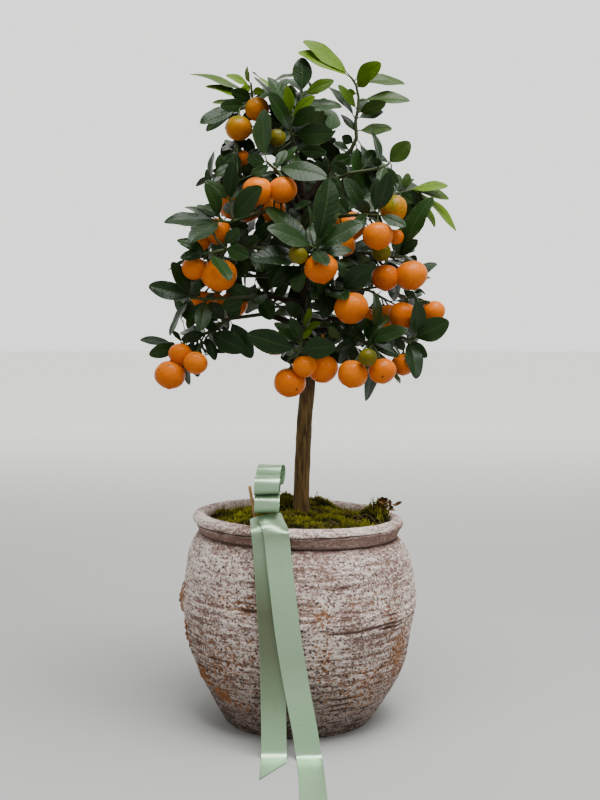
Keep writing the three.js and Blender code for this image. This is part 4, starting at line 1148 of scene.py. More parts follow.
class Shape:
    """A mesh that grows from grids of points, with named numbers at its points."""

    def __init__(self, *names: str) -> None:
        """Starts an empty mesh.

        Args:
            names: What the numbers that its points carry are called.
        """
        self._names = names
        self._points: list[Array] = []
        self._quads: list[Array] = []
        self._values: dict[str, list[Array]] = {name: [] for name in names}
        self._count = 0

    def grids(self, points: Array, around: bool = False, flip: bool = False, **values: Array | float) -> None:
        """Adds grids of the same size.

        Args:
            points: Their points, as grid, row, column and coordinate. A face looks to the side
                from which columns run anticlockwise about rising rows.
            around: Whether the last column joins the first.
            flip: Whether faces look the other way.
            values: Numbers for the points, in a shape that spreads over grids, rows and columns.
        """
        many, rows, columns, _ = points.shape
        ids = self._count + np.arange(many * rows * columns).reshape(many, rows, columns)
        right = np.roll(ids, -1, axis=2) if around else ids[:, :, 1:]
        left = ids if around else ids[:, :, :-1]
        quads = np.stack([left[:, :-1], right[:, :-1], right[:, 1:], left[:, 1:]], axis=-1).reshape(-1, 4)
        self._quads.append(quads[:, ::-1] if flip else quads)
        self._points.append(points.reshape(-1, 3))
        self._count += many * rows * columns
        for name in self._names:
            self._values[name].append(np.broadcast_to(values.get(name, 0.0), (many, rows, columns)).reshape(-1))

    def grid(self, points: Array, around: bool = False, flip: bool = False, **values: Array | float) -> None:
        """Adds one grid of points as row, column and coordinate."""
        self.grids(points[None], around, flip, **values)

    def tube(self, centres: Array, radii: Array | float, sides: int, **values: Array | float) -> None:
        """Adds a round tube with closed ends.

        Args:
            centres: Points of its axis.
            radii: Its radius at each of them.
            sides: Its number of sides.
            values: Numbers for its rows.
        """
        self.grid(tube_points(centres, radii, sides), around=True, **values)

    def mesh(self, name: str) -> bpy.types.Mesh:
        """The grown mesh, in metres.

        Args:
            name: Its name.

        Returns:
            The mesh.
        """
        points, quads = np.concatenate(self._points) * MM, np.concatenate(self._quads)
        mesh = bpy.data.meshes.new(name)
        mesh.vertices.add(len(points))
        mesh.vertices.foreach_set("co", points.astype(np.float32).ravel())
        mesh.loops.add(quads.size)
        mesh.loops.foreach_set("vertex_index", quads.astype(np.int32).ravel())
        mesh.polygons.add(len(quads))
        mesh.polygons.foreach_set("loop_start", np.arange(0, quads.size, 4, dtype=np.int32))
        mesh.update(calc_edges=True)
        mesh.shade_smooth()
        for value, parts in self._values.items():
            data = mesh.attributes.new(value, "FLOAT", "POINT").data
            data.foreach_set("value", np.concatenate(parts).astype(np.float32))
        return mesh


def tube_points(centres: Array, radii: Array | float, sides: int) -> Array:
    """The rings of a tube.

    Args:
        centres: Points of its axis.
        radii: Its radius at each of them.
        sides: Points in a ring.

    Returns:
        The points by ring, with a narrow ring at each end.
    """
    centres = np.asarray(centres, float)
    radii = np.broadcast_to(radii, len(centres)).astype(float)
    along = unit(np.gradient(centres, axis=0))
    across = vec(0.31, 0.87, 0.38)
    rings = []
    for centre, way, radius in zip(centres, along, radii, strict=True):
        across = unit(across - way * (across @ way))
        turn = np.arange(sides) * 2 * math.pi / sides
        spread = np.cos(turn)[:, None] * across + np.sin(turn)[:, None] * np.cross(way, across)
        rings.append(centre + spread * radius)
    ends = [centres[k] + (rings[k] - centres[k]) * 0.02 for k in (0, -1)]
    return np.array([ends[0], *rings, ends[1]])


def add_piece(
    shape: Shape, name: str, material: Material, slot: Peel | Slot, *stands_for: str
) -> bpy.types.Object:
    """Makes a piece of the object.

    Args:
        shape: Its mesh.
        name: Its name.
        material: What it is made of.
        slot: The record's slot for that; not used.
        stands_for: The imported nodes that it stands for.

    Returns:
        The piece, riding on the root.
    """
    mesh = shape.mesh(name)
    mesh.materials.append(material)
    piece = bpy.data.objects.new(name, mesh)
    bpy.context.scene.collection.objects.link(piece)
    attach(piece, "root")
    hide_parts(*stands_for)
    LOG.info("%s: %d triangles", name, 2 * len(mesh.polygons))
    return piece


class Wire:
    """An output of a shader node that can be reckoned with."""

    def __init__(self, net: Net, socket: bpy.types.NodeSocket) -> None:
        """Wraps a socket of a net."""
        self.net = net
        self.socket = socket

    def __add__(self, other: Wire | float) -> Wire:
        """Self + other."""
        return self.net.math("ADD", self, other)

    def __radd__(self, other: float) -> Wire:
        """Other + self."""
        return self.net.math("ADD", other, self)

    def __sub__(self, other: Wire | float) -> Wire:
        """Self - other."""
        return self.net.math("SUBTRACT", self, other)

    def __rsub__(self, other: float) -> Wire:
        """Other - self."""
        return self.net.math("SUBTRACT", other, self)

    def __mul__(self, other: Wire | float) -> Wire:
        """Self * other."""
        return self.net.math("MULTIPLY", self, other)

    def __rmul__(self, other: float) -> Wire:
        """Other * self."""
        return self.net.math("MULTIPLY", other, self)

    def __abs__(self) -> Wire:
        """The amount without its sign."""
        return self.net.math("ABSOLUTE", self)

    def step(self, low: float, high: float) -> Wire:
        """A smooth step from 0 at low to 1 at high.

        Args:
            low: The value up to which it is 0.
            high: The value from which it is 1.

        Returns:
            The step.
        """
        inputs = {"Value": self, "From Min": low, "From Max": high, "To Min": 0.0, "To Max": 1.0}
        node = self.net.node("ShaderNodeMapRange", {"interpolation_type": "SMOOTHSTEP"}, inputs)
        return Wire(self.net, node.outputs[0])


Value = Wire | float | Paint | tuple[float, float, float]


class Net:
    """The shader nodes of one material."""

    def __init__(self, name: str) -> None:
        """Starts the nodes of a new material.

        Args:
            name: The material's name.
        """
        self.material = bpy.data.materials.new(name)
        self.material.use_nodes = True
        self._tree = self.material.node_tree
        self._tree.nodes.clear()

    def node(
        self, kind: str, settings: Mapping[str, object], inputs: Mapping[str | int, Value]
    ) -> bpy.types.Node:
        """Adds a node.

        Args:
            kind: Its type.
            settings: Its settings, set first because they choose its sockets.
            inputs: Values and wires by socket.

        Returns:
            The node.
        """
        node = self._tree.nodes.new(kind)
        for key, value in settings.items():
            setattr(node, key, value)
        for key, value in inputs.items():
            if isinstance(value, Wire):
                self._tree.links.new(value.socket, node.inputs[key])
            else:
                node.inputs[key].default_value = value
        return node

    def math(self, operation: str, *values: Wire | float) -> Wire:
        """The outcome of a Math node."""
        return Wire(self, self.node("ShaderNodeMath", {"operation": operation}, dict(enumerate(values))).outputs[0])

    def value(self, name: str) -> Wire:
        """A number that the mesh carries at its points."""
        return Wire(self, self.node("ShaderNodeAttribute", {"attribute_name": name}, {}).outputs["Fac"])

    def place(self, stretch: tuple[float, float, float] = (1, 1, 1)) -> Wire:
        """The point that is shaded, in metres, stretched along the axes.

        Args:
            stretch: How much along each axis.

        Returns:
            The point.
        """
        at = Wire(self, self.node("ShaderNodeTexCoord", {}, {}).outputs["Object"])
        node = self.node("ShaderNodeVectorMath", {"operation": "MULTIPLY"}, {0: at, 1: stretch})
        return Wire(self, node.outputs[0])

    def noise(self, scale: float, detail: float = 3.0, at: Wire | None = None) -> Wire:
        """Soft noise about 0.5.

        Args:
            scale: Waves in a metre.
            detail: Octaves.
            at: Where it is taken, by default at the shaded point.

        Returns:
            The noise.
        """
        inputs = {"Vector": at or self.place(), "Scale": scale, "Detail": detail}
        return Wire(self, self.node("ShaderNodeTexNoise", {"noise_dimensions": "3D"}, inputs).outputs[0])

    def cells(self, scale: float, at: Wire | None = None) -> Wire:
        """Distances to scattered points.

        Args:
            scale: Points along a metre.
            at: Where they are taken, by default at the shaded point.

        Returns:
            The distance over the usual spacing.
        """
        inputs = {"Vector": at or self.place(), "Scale": scale}
        return Wire(self, self.node("ShaderNodeTexVoronoi", {"feature": "F1"}, inputs).outputs["Distance"])

    def mix(self, share: Wire | float, first: Value, second: Value, blend: str = "MIX") -> Wire:
        """A colour between two.

        Args:
            share: 0 for the first and 1 for the second.
            first: A colour.
            second: A colour.
            blend: The blend type.

        Returns:
            The colour.
        """
        settings = {"data_type": "RGBA", "blend_type": blend, "clamp_factor": True}
        return Wire(self, self.node("ShaderNodeMix", settings, {0: share, 6: first, 7: second}).outputs[2])

    def bump(self, height: Wire, distance: float, strength: float = 1.0) -> Wire:
        """A normal bent by a height.

        Args:
            height: The height, from 0 to 1.
            distance: What a height of 1 is, in metres.
            strength: Its strength.

        Returns:
            The normal.
        """
        inputs = {"Height": height, "Distance": distance, "Strength": strength}
        return Wire(self, self.node("ShaderNodeBump", {}, inputs).outputs[0])

    def principled(self, **inputs: Value) -> Wire:
        """A surface, with sockets named as in the shader but with _ for spaces."""
        named = {key.replace("_", " "): value for key, value in inputs.items()}
        return Wire(self, self.node("ShaderNodeBsdfPrincipled", {}, named).outputs[0])

    def finish(self, surface: Wire) -> Material:
        """Puts the surface out.

        Args:
            surface: The shader.

        Returns:
            The material.
        """
        self.node("ShaderNodeOutputMaterial", {}, {"Surface": surface})
        return self.material


@dataclass(frozen=True)
class LeafFinish:
    """Leathery leaves: dark and waxy above, paler beneath, with pale midribs, a painted highlight along their rims
    and some drops of water.
    """

    dark: Paint = paint("#11210d")
    fresh: Paint = paint("#213a14")
    young: Paint = paint("#608006")
    brown: Paint = paint("#2b2a14")
    beneath: Paint = paint("#333f18")
    midrib: Paint = paint("#41562a")
    # Colour of the painted highlight along each blade's rim
    edge: Paint = paint("#3f5230")
    roughness: float = 0.29

    def material(self) -> Material:
        """Builds the material."""
        net = Net("leaf")
        side, along = abs(net.value("across")), net.value("along")
        tone, youth, under = net.value("tone"), net.value("youth"), net.value("under")
        mottle = net.noise(90, 4)
        green = net.mix(tone * 0.65 + mottle * 0.35, self.dark, self.fresh)
        green = net.mix(mottle.step(0.5, 0.75) * tone * 0.5, green, self.brown)
        green = net.mix(youth * (0.4 + youth * 0.6), green, self.young)
        green = net.mix(under * (1 - youth * 0.6) * 0.7, green, self.beneath)
        veins = abs(net.math("SINE", along * 34 - side * 5)).step(0.0, 0.4)
        rib = 1 - side.step(0.02, 0.1)
        green = net.mix(rib * 0.3, green, self.midrib)
        green = net.mix((1 - veins) * 0.06, green, self.midrib)
        # Painted highlight: a thin lighter line along each blade's rim
        green = net.mix(side.step(0.9, 1.0) * 0.4, green, self.edge)
        drops = (1 - net.cells(150).step(0.08, 0.15)) * net.noise(40, 2).step(0.5, 0.55) * (1 - under)
        height = side.step(0.0, 0.35) * 0.35 + veins * 0.16 + net.noise(300, 3) * 0.25 + drops * 1.2
        surface = net.principled(
            Base_Color=green,
            Roughness=mottle * 0.16 + under * 0.25 + youth * 0.2 - drops * 0.3 + self.roughness - 0.06,
            Normal=net.bump(height, 0.0006),
            Specular_IOR_Level=0.17,
        )
        glow = Wire(net, net.node("ShaderNodeBsdfTranslucent", {}, {"Color": green}).outputs[0])
        mixed = net.node("ShaderNodeMixShader", {}, {0: youth * 0.18 + 0.03, 1: surface, 2: glow})
        return net.finish(Wire(net, mixed.outputs[0]))


@dataclass(frozen=True)
class TwigFinish:
    """Green young wood that browns with age."""

    green: Paint = paint("#35471c")
    brown: Paint = paint("#382b1c")
    shade: Paint = paint("#1c2613")

    def material(self) -> Material:
        """Builds the material."""
        net = Net("twig")
        colour = net.mix(net.value("age"), self.green, self.brown)
        colour = net.mix(net.noise(300) * 0.4, colour, self.shade)
        return net.finish(net.principled(Base_Color=colour, Roughness=0.6, Specular_IOR_Level=0.3))


@dataclass(frozen=True)
class PeelFinish:
    """Glossy pored orange peel, green by the stalk where it isn't ripe, with painted shade towards the bottom."""

    name: str
    # The colour on top, and the deeper one that is painted shade towards the bottom and also shows in random
    # patches
    lit: Paint
    deep: Paint
    green: Paint
    greenness: float
    blemish: Paint = paint("#6b3208")

    def material(self) -> Material:
        """Builds the material."""
        net = Net(self.name)
        polar, tone = net.value("polar"), net.value("tone")
        patch = net.noise(60, 3)
        # Painted shade: darker towards the bottom, away from the stalk, on top of random patches and tones
        colour = net.mix(patch * 0.6 + tone * 0.45 + polar.step(0.35, 1.0) * 0.35 - 0.15, self.lit, self.deep)
        green = (1 - polar.step(0.0, 0.75)) * self.greenness + patch.step(0.5, 0.75) * self.greenness * 0.5
        colour = net.mix(green, colour, self.green)
        spot = (1 - net.cells(65).step(0.06, 0.13)) * net.noise(50).step(0.48, 0.56)
        colour = net.mix(spot * 0.85, colour, self.blemish)
        colour = net.mix(polar.step(0.93, 1.0) * 0.35, colour, self.blemish)
        pores = net.cells(800).step(0.0, 0.5)
        drops = (1 - net.cells(130).step(0.09, 0.15)) * net.noise(35, 2).step(0.5, 0.56)
        height = pores * 0.5 + net.noise(110) * 2.0 - spot * 1.2 + drops * 1.6
        return net.finish(
            net.principled(
                Base_Color=colour,
                Roughness=patch * 0.1 + 0.28 - drops * 0.22,
                Normal=net.bump(height, 0.0004),
                Specular_IOR_Level=0.06,
                Coat_Weight=0.14,
                Coat_Roughness=0.1,
            )
        )


@dataclass(frozen=True)
class BarkFinish:
    """Brown bark with a fine upright grain."""

    pale: Paint = paint("#7d6236")
    dark: Paint = paint("#261a10")
    shade: Paint = paint("#17100a")

    def material(self) -> Material:
        """Builds the material."""
        net = Net("bark")
        grain = net.noise(420, 4, net.place((1, 1, 0.12)))
        blotch = net.noise(35, 3)
        colour = net.mix(grain.step(0.3, 0.7) * 0.7 + blotch * 0.4 - 0.05, self.dark, self.pale)
        colour = net.mix(net.value("shade"), colour, self.shade)
        bent = net.bump(grain, 0.0014, 0.8)
        return net.finish(net.principled(Base_Color=colour, Roughness=0.75, Normal=bent, Specular_IOR_Level=0.25))


@dataclass(frozen=True)
class MossFinish:
    """Olive green moss with yellow green tips, darker towards the shoots' roots and between tufts: partly the
    moss's own darker stems, partly painted shade in the gaps.
    """

    tip: Paint = paint("#a8a626")
    base: Paint = paint("#171407")
    dry: Paint = paint("#6a4f22")

    def material(self) -> Material:
        """Builds the material."""
        net = Net("moss")
        tip, tone = net.value("tip"), net.value("tone")
        # Darker towards each shoot's root: partly the moss's own darker stems, partly painted shade in the gaps
        colour = net.mix(tip.step(0.0, 0.85), self.base, self.tip)
        colour = net.mix(tone.step(0.78, 1.0) * 0.6, colour, self.dry)
        colour = net.mix((1 - net.noise(45, 3).step(0.35, 0.6)) * 0.6, colour, self.base)
        return net.finish(net.principled(Base_Color=colour, Roughness=0.9, Specular_IOR_Level=0.15))


@dataclass(frozen=True)
class DryFinish:
    """Dry plant scraps in the moss."""

    name: str
    pale: Paint
    dark: Paint

    def material(self) -> Material:
        """Builds the material."""
        net = Net(self.name)
        colour = net.mix(net.noise(160, 3).step(0.3, 0.7), self.pale, self.dark)
        return net.finish(net.principled(Base_Color=colour, Roughness=0.8, Specular_IOR_Level=0.2))


@dataclass(frozen=True)
class TerracottaFinish:
    """Thrown terracotta under a worn and pitted whitewash, with rust coloured specks, darkened as painted shade
    towards the foot, along the crease below the lip and under the lip's roll.
    """

    wash: Paint = paint("#f3e2d8")
    mauve: Paint = paint("#86695f")
    # Colour of the painted shade towards the foot
    low: Paint = paint("#4e3c34")
    # Colour of pits, cracks and chips, and of the painted shade along the crease and under the lip's roll
    pit: Paint = paint("#2b1d1a")
    clay: Paint = paint("#7b5b50")
    rust: Paint = paint("#8a5426")

    def material(self) -> Material:
        """Builds the material."""
        net = Net("whitewashed_terracotta")
        ridges, lumps = net.noise(90, 3, net.place((1, 1, 4.5))), net.noise(430, 3, net.place((1, 1, 1.25)))
        grit, clouds = net.noise(1200, 2), net.noise(15, 2)
        worn, rust, pits_and_shade = net.value("worn"), net.value("rust"), net.value("pit")
        high, foot, smooth = net.value("high"), net.value("foot"), net.value("smooth")
        relief = ridges * 0.32 + lumps * 0.46 + grit * 0.22 + high * 0.1
        wash = (relief + clouds * 0.3 - 0.153).step(0.39, 0.6)
        # Painted shade: darker towards the foot
        body = net.mix(wash, net.mix(foot * 0.8, self.mauve, self.low), self.wash)
        body = net.mix(foot * 0.72, body, self.low)
        body = net.mix(worn * (1 - relief.step(0.45, 0.75) * (1 - smooth * 0.7) * 0.8), body, self.clay)
        specks = net.noise(300, 2, net.place((1, 1, 1.3)))
        film = (specks * 0.8 + clouds * 0.2 + rust * 0.25 - 0.03).step(0.6, 0.66) * (1 - smooth)
        body = net.mix(film * 0.85, body, self.rust)
        crowd = (clouds * 0.8 + high * 0.2 + 0.1).step(0.3, 0.6) * 0.6 + 0.4
        holes = 1 - (net.cells(250) + lumps * 0.6 - 0.3).step(0.2, 0.36)
        holes = holes * crowd * (1 - worn) * (1 - smooth * 0.7)
        hollow = (1 - relief.step(0.3, 0.38)) * (1 - worn * 0.7)
        # The pit marks also carry the painted shade of the crease and of the lip's underside
        dark = net.math("MAXIMUM", pits_and_shade, net.math("MAXIMUM", holes, hollow))
        body = net.mix(dark * 0.85, body, self.pit)
        bent = net.bump(relief * 1.2 - holes * 0.4, 0.004, 0.9)
        return net.finish(net.principled(Base_Color=body, Roughness=0.9, Normal=bent, Specular_IOR_Level=0.2))


@dataclass(frozen=True)
class SatinFinish:
    """Sage green satin with a fine weave, a little deeper in colour along its edges."""

    bright: Paint = paint("#b2d4b0")
    deep: Paint = paint("#96b893")
    shade: Paint = paint("#54543f")

    def material(self) -> Material:
        """Builds the material."""
        net = Net("satin_ribbon")
        weave = net.noise(1500, 2, net.place((0.15, 1, 1)))
        colour = net.mix(weave, self.deep, self.bright)
        colour = net.mix(net.value("shade"), colour, self.shade)
        colour = net.mix(abs(net.value("across")).step(0.93, 0.99) * 0.3, colour, self.deep)
        return net.finish(
            net.principled(
                Base_Color=colour,
                Roughness=0.34,
                Normal=net.bump(weave, 0.00012),
                Metallic=0.55,
                Specular_IOR_Level=0.5,
            )
        )


@dataclass(frozen=True)
class PlainFinish:
    """An even colour."""

    name: str
    colour: Paint
    roughness: float

    def material(self) -> Material:
        """Builds the material."""
        net = Net(self.name)
        return net.finish(net.principled(Base_Color=self.colour, Roughness=self.roughness))


@dataclass(frozen=True)
class FloorFinish:
    """The pale floor, which glows softly far behind."""

    near: Paint = paint("#aeafad")
    far: Paint = paint("#f4f4f2")
    dark: Paint = paint("#000000")
    glow: Paint = paint("#e2e2de")

    def material(self) -> Material:
        """Builds the material."""
        net = Net("floor")
        far = net.value("far")
        return net.finish(
            net.principled(
                Base_Color=net.mix(far, self.near, self.far),
                Roughness=0.9,
                Specular_IOR_Level=0.0,
                Emission_Color=net.mix(far, self.dark, self.glow),
                Emission_Strength=1.0,
            )
        )


@dataclass
class Pot:
    """The thrown pot: belly and foot in one piece, lip and inside in another."""

    # Radius and height of each corner, outside from the foot up, inside from the lip down
    belly: tuple[Row, ...] = (
        (79, 0), (84, 7), (99.6, 32), (111.7, 55), (117, 70), (119.5, 82.5), (123.4, 105), (127, 127),
        (126.2, 145), (122.3, 175), (118.6, 186), (114.6, 194), (110.5, 199.5), (107.4, 202),
    )
    lip: tuple[Row, ...] = (
        (106.8, 202), (108.2, 204.5), (110, 209), (111.6, 213), (113.8, 215), (114.4, 218), (112.4, 222),
        (107.5, 224), (103, 222.8), (100.6, 219), (99.5, 212),
    )
    inside: tuple[Row, ...] = ((96.6, 199), (110, 170), (114, 127), (104, 74), (88, 33), (70, 16), (2, 14))
    foot: tuple[Row, ...] = ((1, 0), (40, 0), (72, 0))
    # Heights and how far the wall is off its axis there, towards +X
    swell: tuple[Row, ...] = ((0, 0), (32, 1.6), (70, 1.6), (105, 1.1), (145, 2.6), (175, 1.6), (200, 0))
    # Azimuth and height of each rusty place, how wide and how high it is, and how rusty
    rust_spots: tuple[Row, ...] = (
        (-176, 122, 10, 26, 1.5), (-170, 96, 9, 20, 1.3), (-152, 60, 8, 14, 1.2), (-140, 44, 8, 12, 1.2),
        (-135, 80, 26, 50, 0.5), (-118, 145, 18, 14, 0.6), (-108, 100, 14, 30, 0.45), (-125, 34, 12, 10, 0.7),
        (-80, 140, 8, 16, 0.7), (-78, 90, 7, 40, 0.5), (-52, 62, 28, 34, 0.5), (-52, 150, 26, 12, 0.3),
        (-30, 90, 12, 36, 0.9), (-42, 130, 9, 26, 0.6), (-20, 70, 12, 22, 0.6), (-15, 120, 10, 30, 0.4),
        (20, 90, 14, 26, 0.8), (65, 60, 20, 24, 0.6), (110, 130, 14, 20, 0.9), (150, 90, 16, 30, 0.7),
    )
    # Start and stop in degrees of each long crack, height and rise
    cracks: tuple[Row, ...] = ((-55, 10, 147, 9), (-72, -40, 91, -3), (-78, -48, 126, 2), (100, 150, 120, 6))
    mark_names: tuple[str, ...] = ("pit", "high", "rust", "worn", "foot", "smooth")
    sides: int = 480
    belly_rows: int = 205
    lip_sides: int = 400
    lip_rows: int = 70
    # Height of the crease where the lip meets the belly, along which a line of painted shade runs, and of the band
    # under the lip's roll that adds painted shade to its wear and chips
    seam: float = 203
    lip_wear_and_shade_height: float = 215.4

    def wall(self, profile: Array, sides: int, relief: float) -> tuple[Array, dict[str, Array]]:
        """A thrown wall.

        Args:
            profile: Radius and height by row.
            sides: Points around.
            relief: How much of the belly's relief it has.

        Returns:
            Its points, and by name how deep in a pit or in the painted shade of the crease each is, how high on a
            ridge, how rusty, and how near the foot, towards which the colour is darkened as painted shade.
        """
        turn, height = np.meshgrid(np.arange(sides) / sides, profile[:, 1])
        radius = np.broadcast_to(profile[:, :1], turn.shape)
        low = 1 - ramp(height, 120, 200) * 0.75
        bends = Grain(3, 7).at(turn, height / 55)
        waver = 1.4 * Grain(4, 4).at(turn, height / 34)
        grooves = np.sin(height * 0.7 + waver * 1.6) + 0.6 * np.sin(height * 1.5 + waver * 2.4)
        streaks = Grain(6, 30).at(turn, height / 2.3) + 0.6 * Grain(7, 80).at(turn, height / 1.7)
        lumps = Grain(8, 190).at(turn, height / 3.4)
        cuts = ramp(Grain(9, 16).at(turn, height / 2.0), 0.5, 0.75)
        cuts = cuts * ramp(Grain(10, 9).at(turn, height / 12), 0, 0.4)
        pit = np.maximum(cuts * low, self.crack(turn, height))
        rough = grooves * 0.3 * low + streaks * 0.4 * (0.35 + 0.65 * low) + lumps * 0.45 - pit * 1.1
        azimuth = (turn * 360 + 90 + 180) % 360 - 180
        rust = self.rust(azimuth, height)
        crust = rust * ramp(-azimuth, 138, 150) * (2.2 + 1.6 * lumps + 1.2 * Grain(14, 60).at(turn, height / 7))
        radius = radius + relief * (bends + rough + crust)
        angle = turn * 2 * math.pi + math.pi / 2
        shift = np.interp(height, *zip(*self.swell, strict=True)) * relief
        x, y = radius * np.cos(angle) + shift, radius * np.sin(angle)
        points = np.stack([x, y, height * (1 - LEAN * x)], axis=-1)
        # Painted shade: a dark line along the crease at the seam, carried in the pit marks
        crease = np.exp(-(((height - self.seam) / 1.6) ** 2)) * (height < self.seam + 2)
        marks = {
            "pit": np.maximum(pit * relief, crease * 0.8),
            "high": np.clip(rough, -1, 1) * relief,
            "rust": rust * relief,
            # How near the foot a place is: the shader darkens the pot there as painted shade
            "foot": 1 - ramp(height, 5, 150),
        }
        return points, marks

    def crack(self, turn: Array, height: Array) -> Array:
        """How deep in one of the long level cracks places are.

        Args:
            turn: Their turns round the pot.
            height: Their heights.

        Returns:
            Numbers from 0 to 1.
        """
        azimuth = turn * 360 - 90
        found = np.zeros_like(height)
        for start, stop, up, rise in self.cracks:
            share = ((azimuth - start + 180) % 360 - 180) / (stop - start)
            line = up + rise * share + 1.2 * Grain(13, 40).at(turn, 0 * height)
            held = ramp(share, 0, 0.1) * ramp(-share, -1, -0.9)
            found = np.maximum(found, np.exp(-(((height - line) / 0.9) ** 2)) * held)
        return found

    def rust(self, azimuth: Array, height: Array) -> Array:
        """How rusty the wall is.

        Args:
            azimuth: Azimuths of places in degrees.
            height: Their heights.

        Returns:
            How rusty they are.
        """
        found = np.zeros_like(height)
        for spot, up, wide, high, much in self.rust_spots:
            aside = (azimuth - spot + 180) % 360 - 180
            found = np.maximum(found, much * np.exp(-((aside / wide) ** 2) - ((height - up) / high) ** 2))
        return found

    def build(self, material: Material) -> None:
        """Makes both pieces."""
        self.build_belly(material)
        self.build_lip(material)

    @staticmethod
    def rounded(profile: tuple[Row, ...], rows: int) -> Array:
        """A profile with its corners rounded, in a number of rows."""
        return on_curve(np.pad(np.array(profile), ((0, 0), (0, 1))), np.linspace(0, len(profile) - 1, rows))[:, :2]

    def build_belly(self, material: Material) -> None:
        """Makes the belly and the foot.

        Args:
            material: The terracotta.
        """
        outside = self.rounded(self.belly, self.belly_rows)
        shape = Shape(*self.mark_names)
        points, marks = self.wall(outside, self.sides, 1.0)
        points[..., 2] = np.maximum(points[..., 2], 0)
        neck = ramp(outside[:, 1], 196, 202)[:, None]
        shape.grid(points, around=True, worn=0.05 + neck * 0.6, **marks)
        points, _ = self.wall(np.vstack([np.array(self.foot), outside[:1]]), self.sides, 0.0)
        shape.grid(points, around=True, worn=0.5)
        add_piece(shape, "pot_belly", material, Slot.TERRACOTTA, "pot")

    def build_lip(self, material: Material) -> None:
        """Makes the chipped lip and the inside.

        Args:
            material: The terracotta.
        """
        lip = self.rounded(self.lip, self.lip_rows)
        profile = np.vstack([lip, np.array(self.inside)])
        shape = Shape(*self.mark_names)
        points, marks = self.wall(profile, self.lip_sides, 0.0)
        turn, row = np.meshgrid(np.arange(self.lip_sides) / self.lip_sides, np.arange(len(profile)))
        chips = Grain(21, 60).at(turn, row / 6) * 0.35 + Grain(22, 16).at(turn, row / 14) * 0.5
        outward = unit(points * vec(1, 1, 0))
        shown = np.where(row < len(lip), 1.0, 0.0)
        points = points + outward * (chips * shown)[..., None]
        points[..., 2] += Grain(23, 9).at(turn, row / 30) * 0.8 * shown
        height = points[..., 2]
        # The band along the underside of the lip's roll is painted shade, added to the random wear and chips
        edge = np.exp(-(((height - self.lip_wear_and_shade_height) / 1.5) ** 2)) * (row < len(lip) / 2)
        worn = ramp(Grain(24, 40).at(turn, row / 5) * 0.7 + edge * 1.2, 0.35, 0.9)
        band = 1 - ramp(height, 212, 216)
        patches = 0.12 * Grain(26, 26).at(turn, row / 9)
        bare = np.clip(worn * 0.5 + band * (0.86 + patches) + (row >= len(lip)) * 0.4, 0, 1)
        chipped = ramp(Grain(25, 90).at(turn, row / 3) * 0.7 + edge * 1.5, 0.55, 1.2)
        shape.grid(points, around=True, worn=bare, high=0.1, pit=np.maximum(marks["pit"], chipped), smooth=1.0)
        add_piece(shape, "pot_lip", material, Slot.TERRACOTTA, "pot")


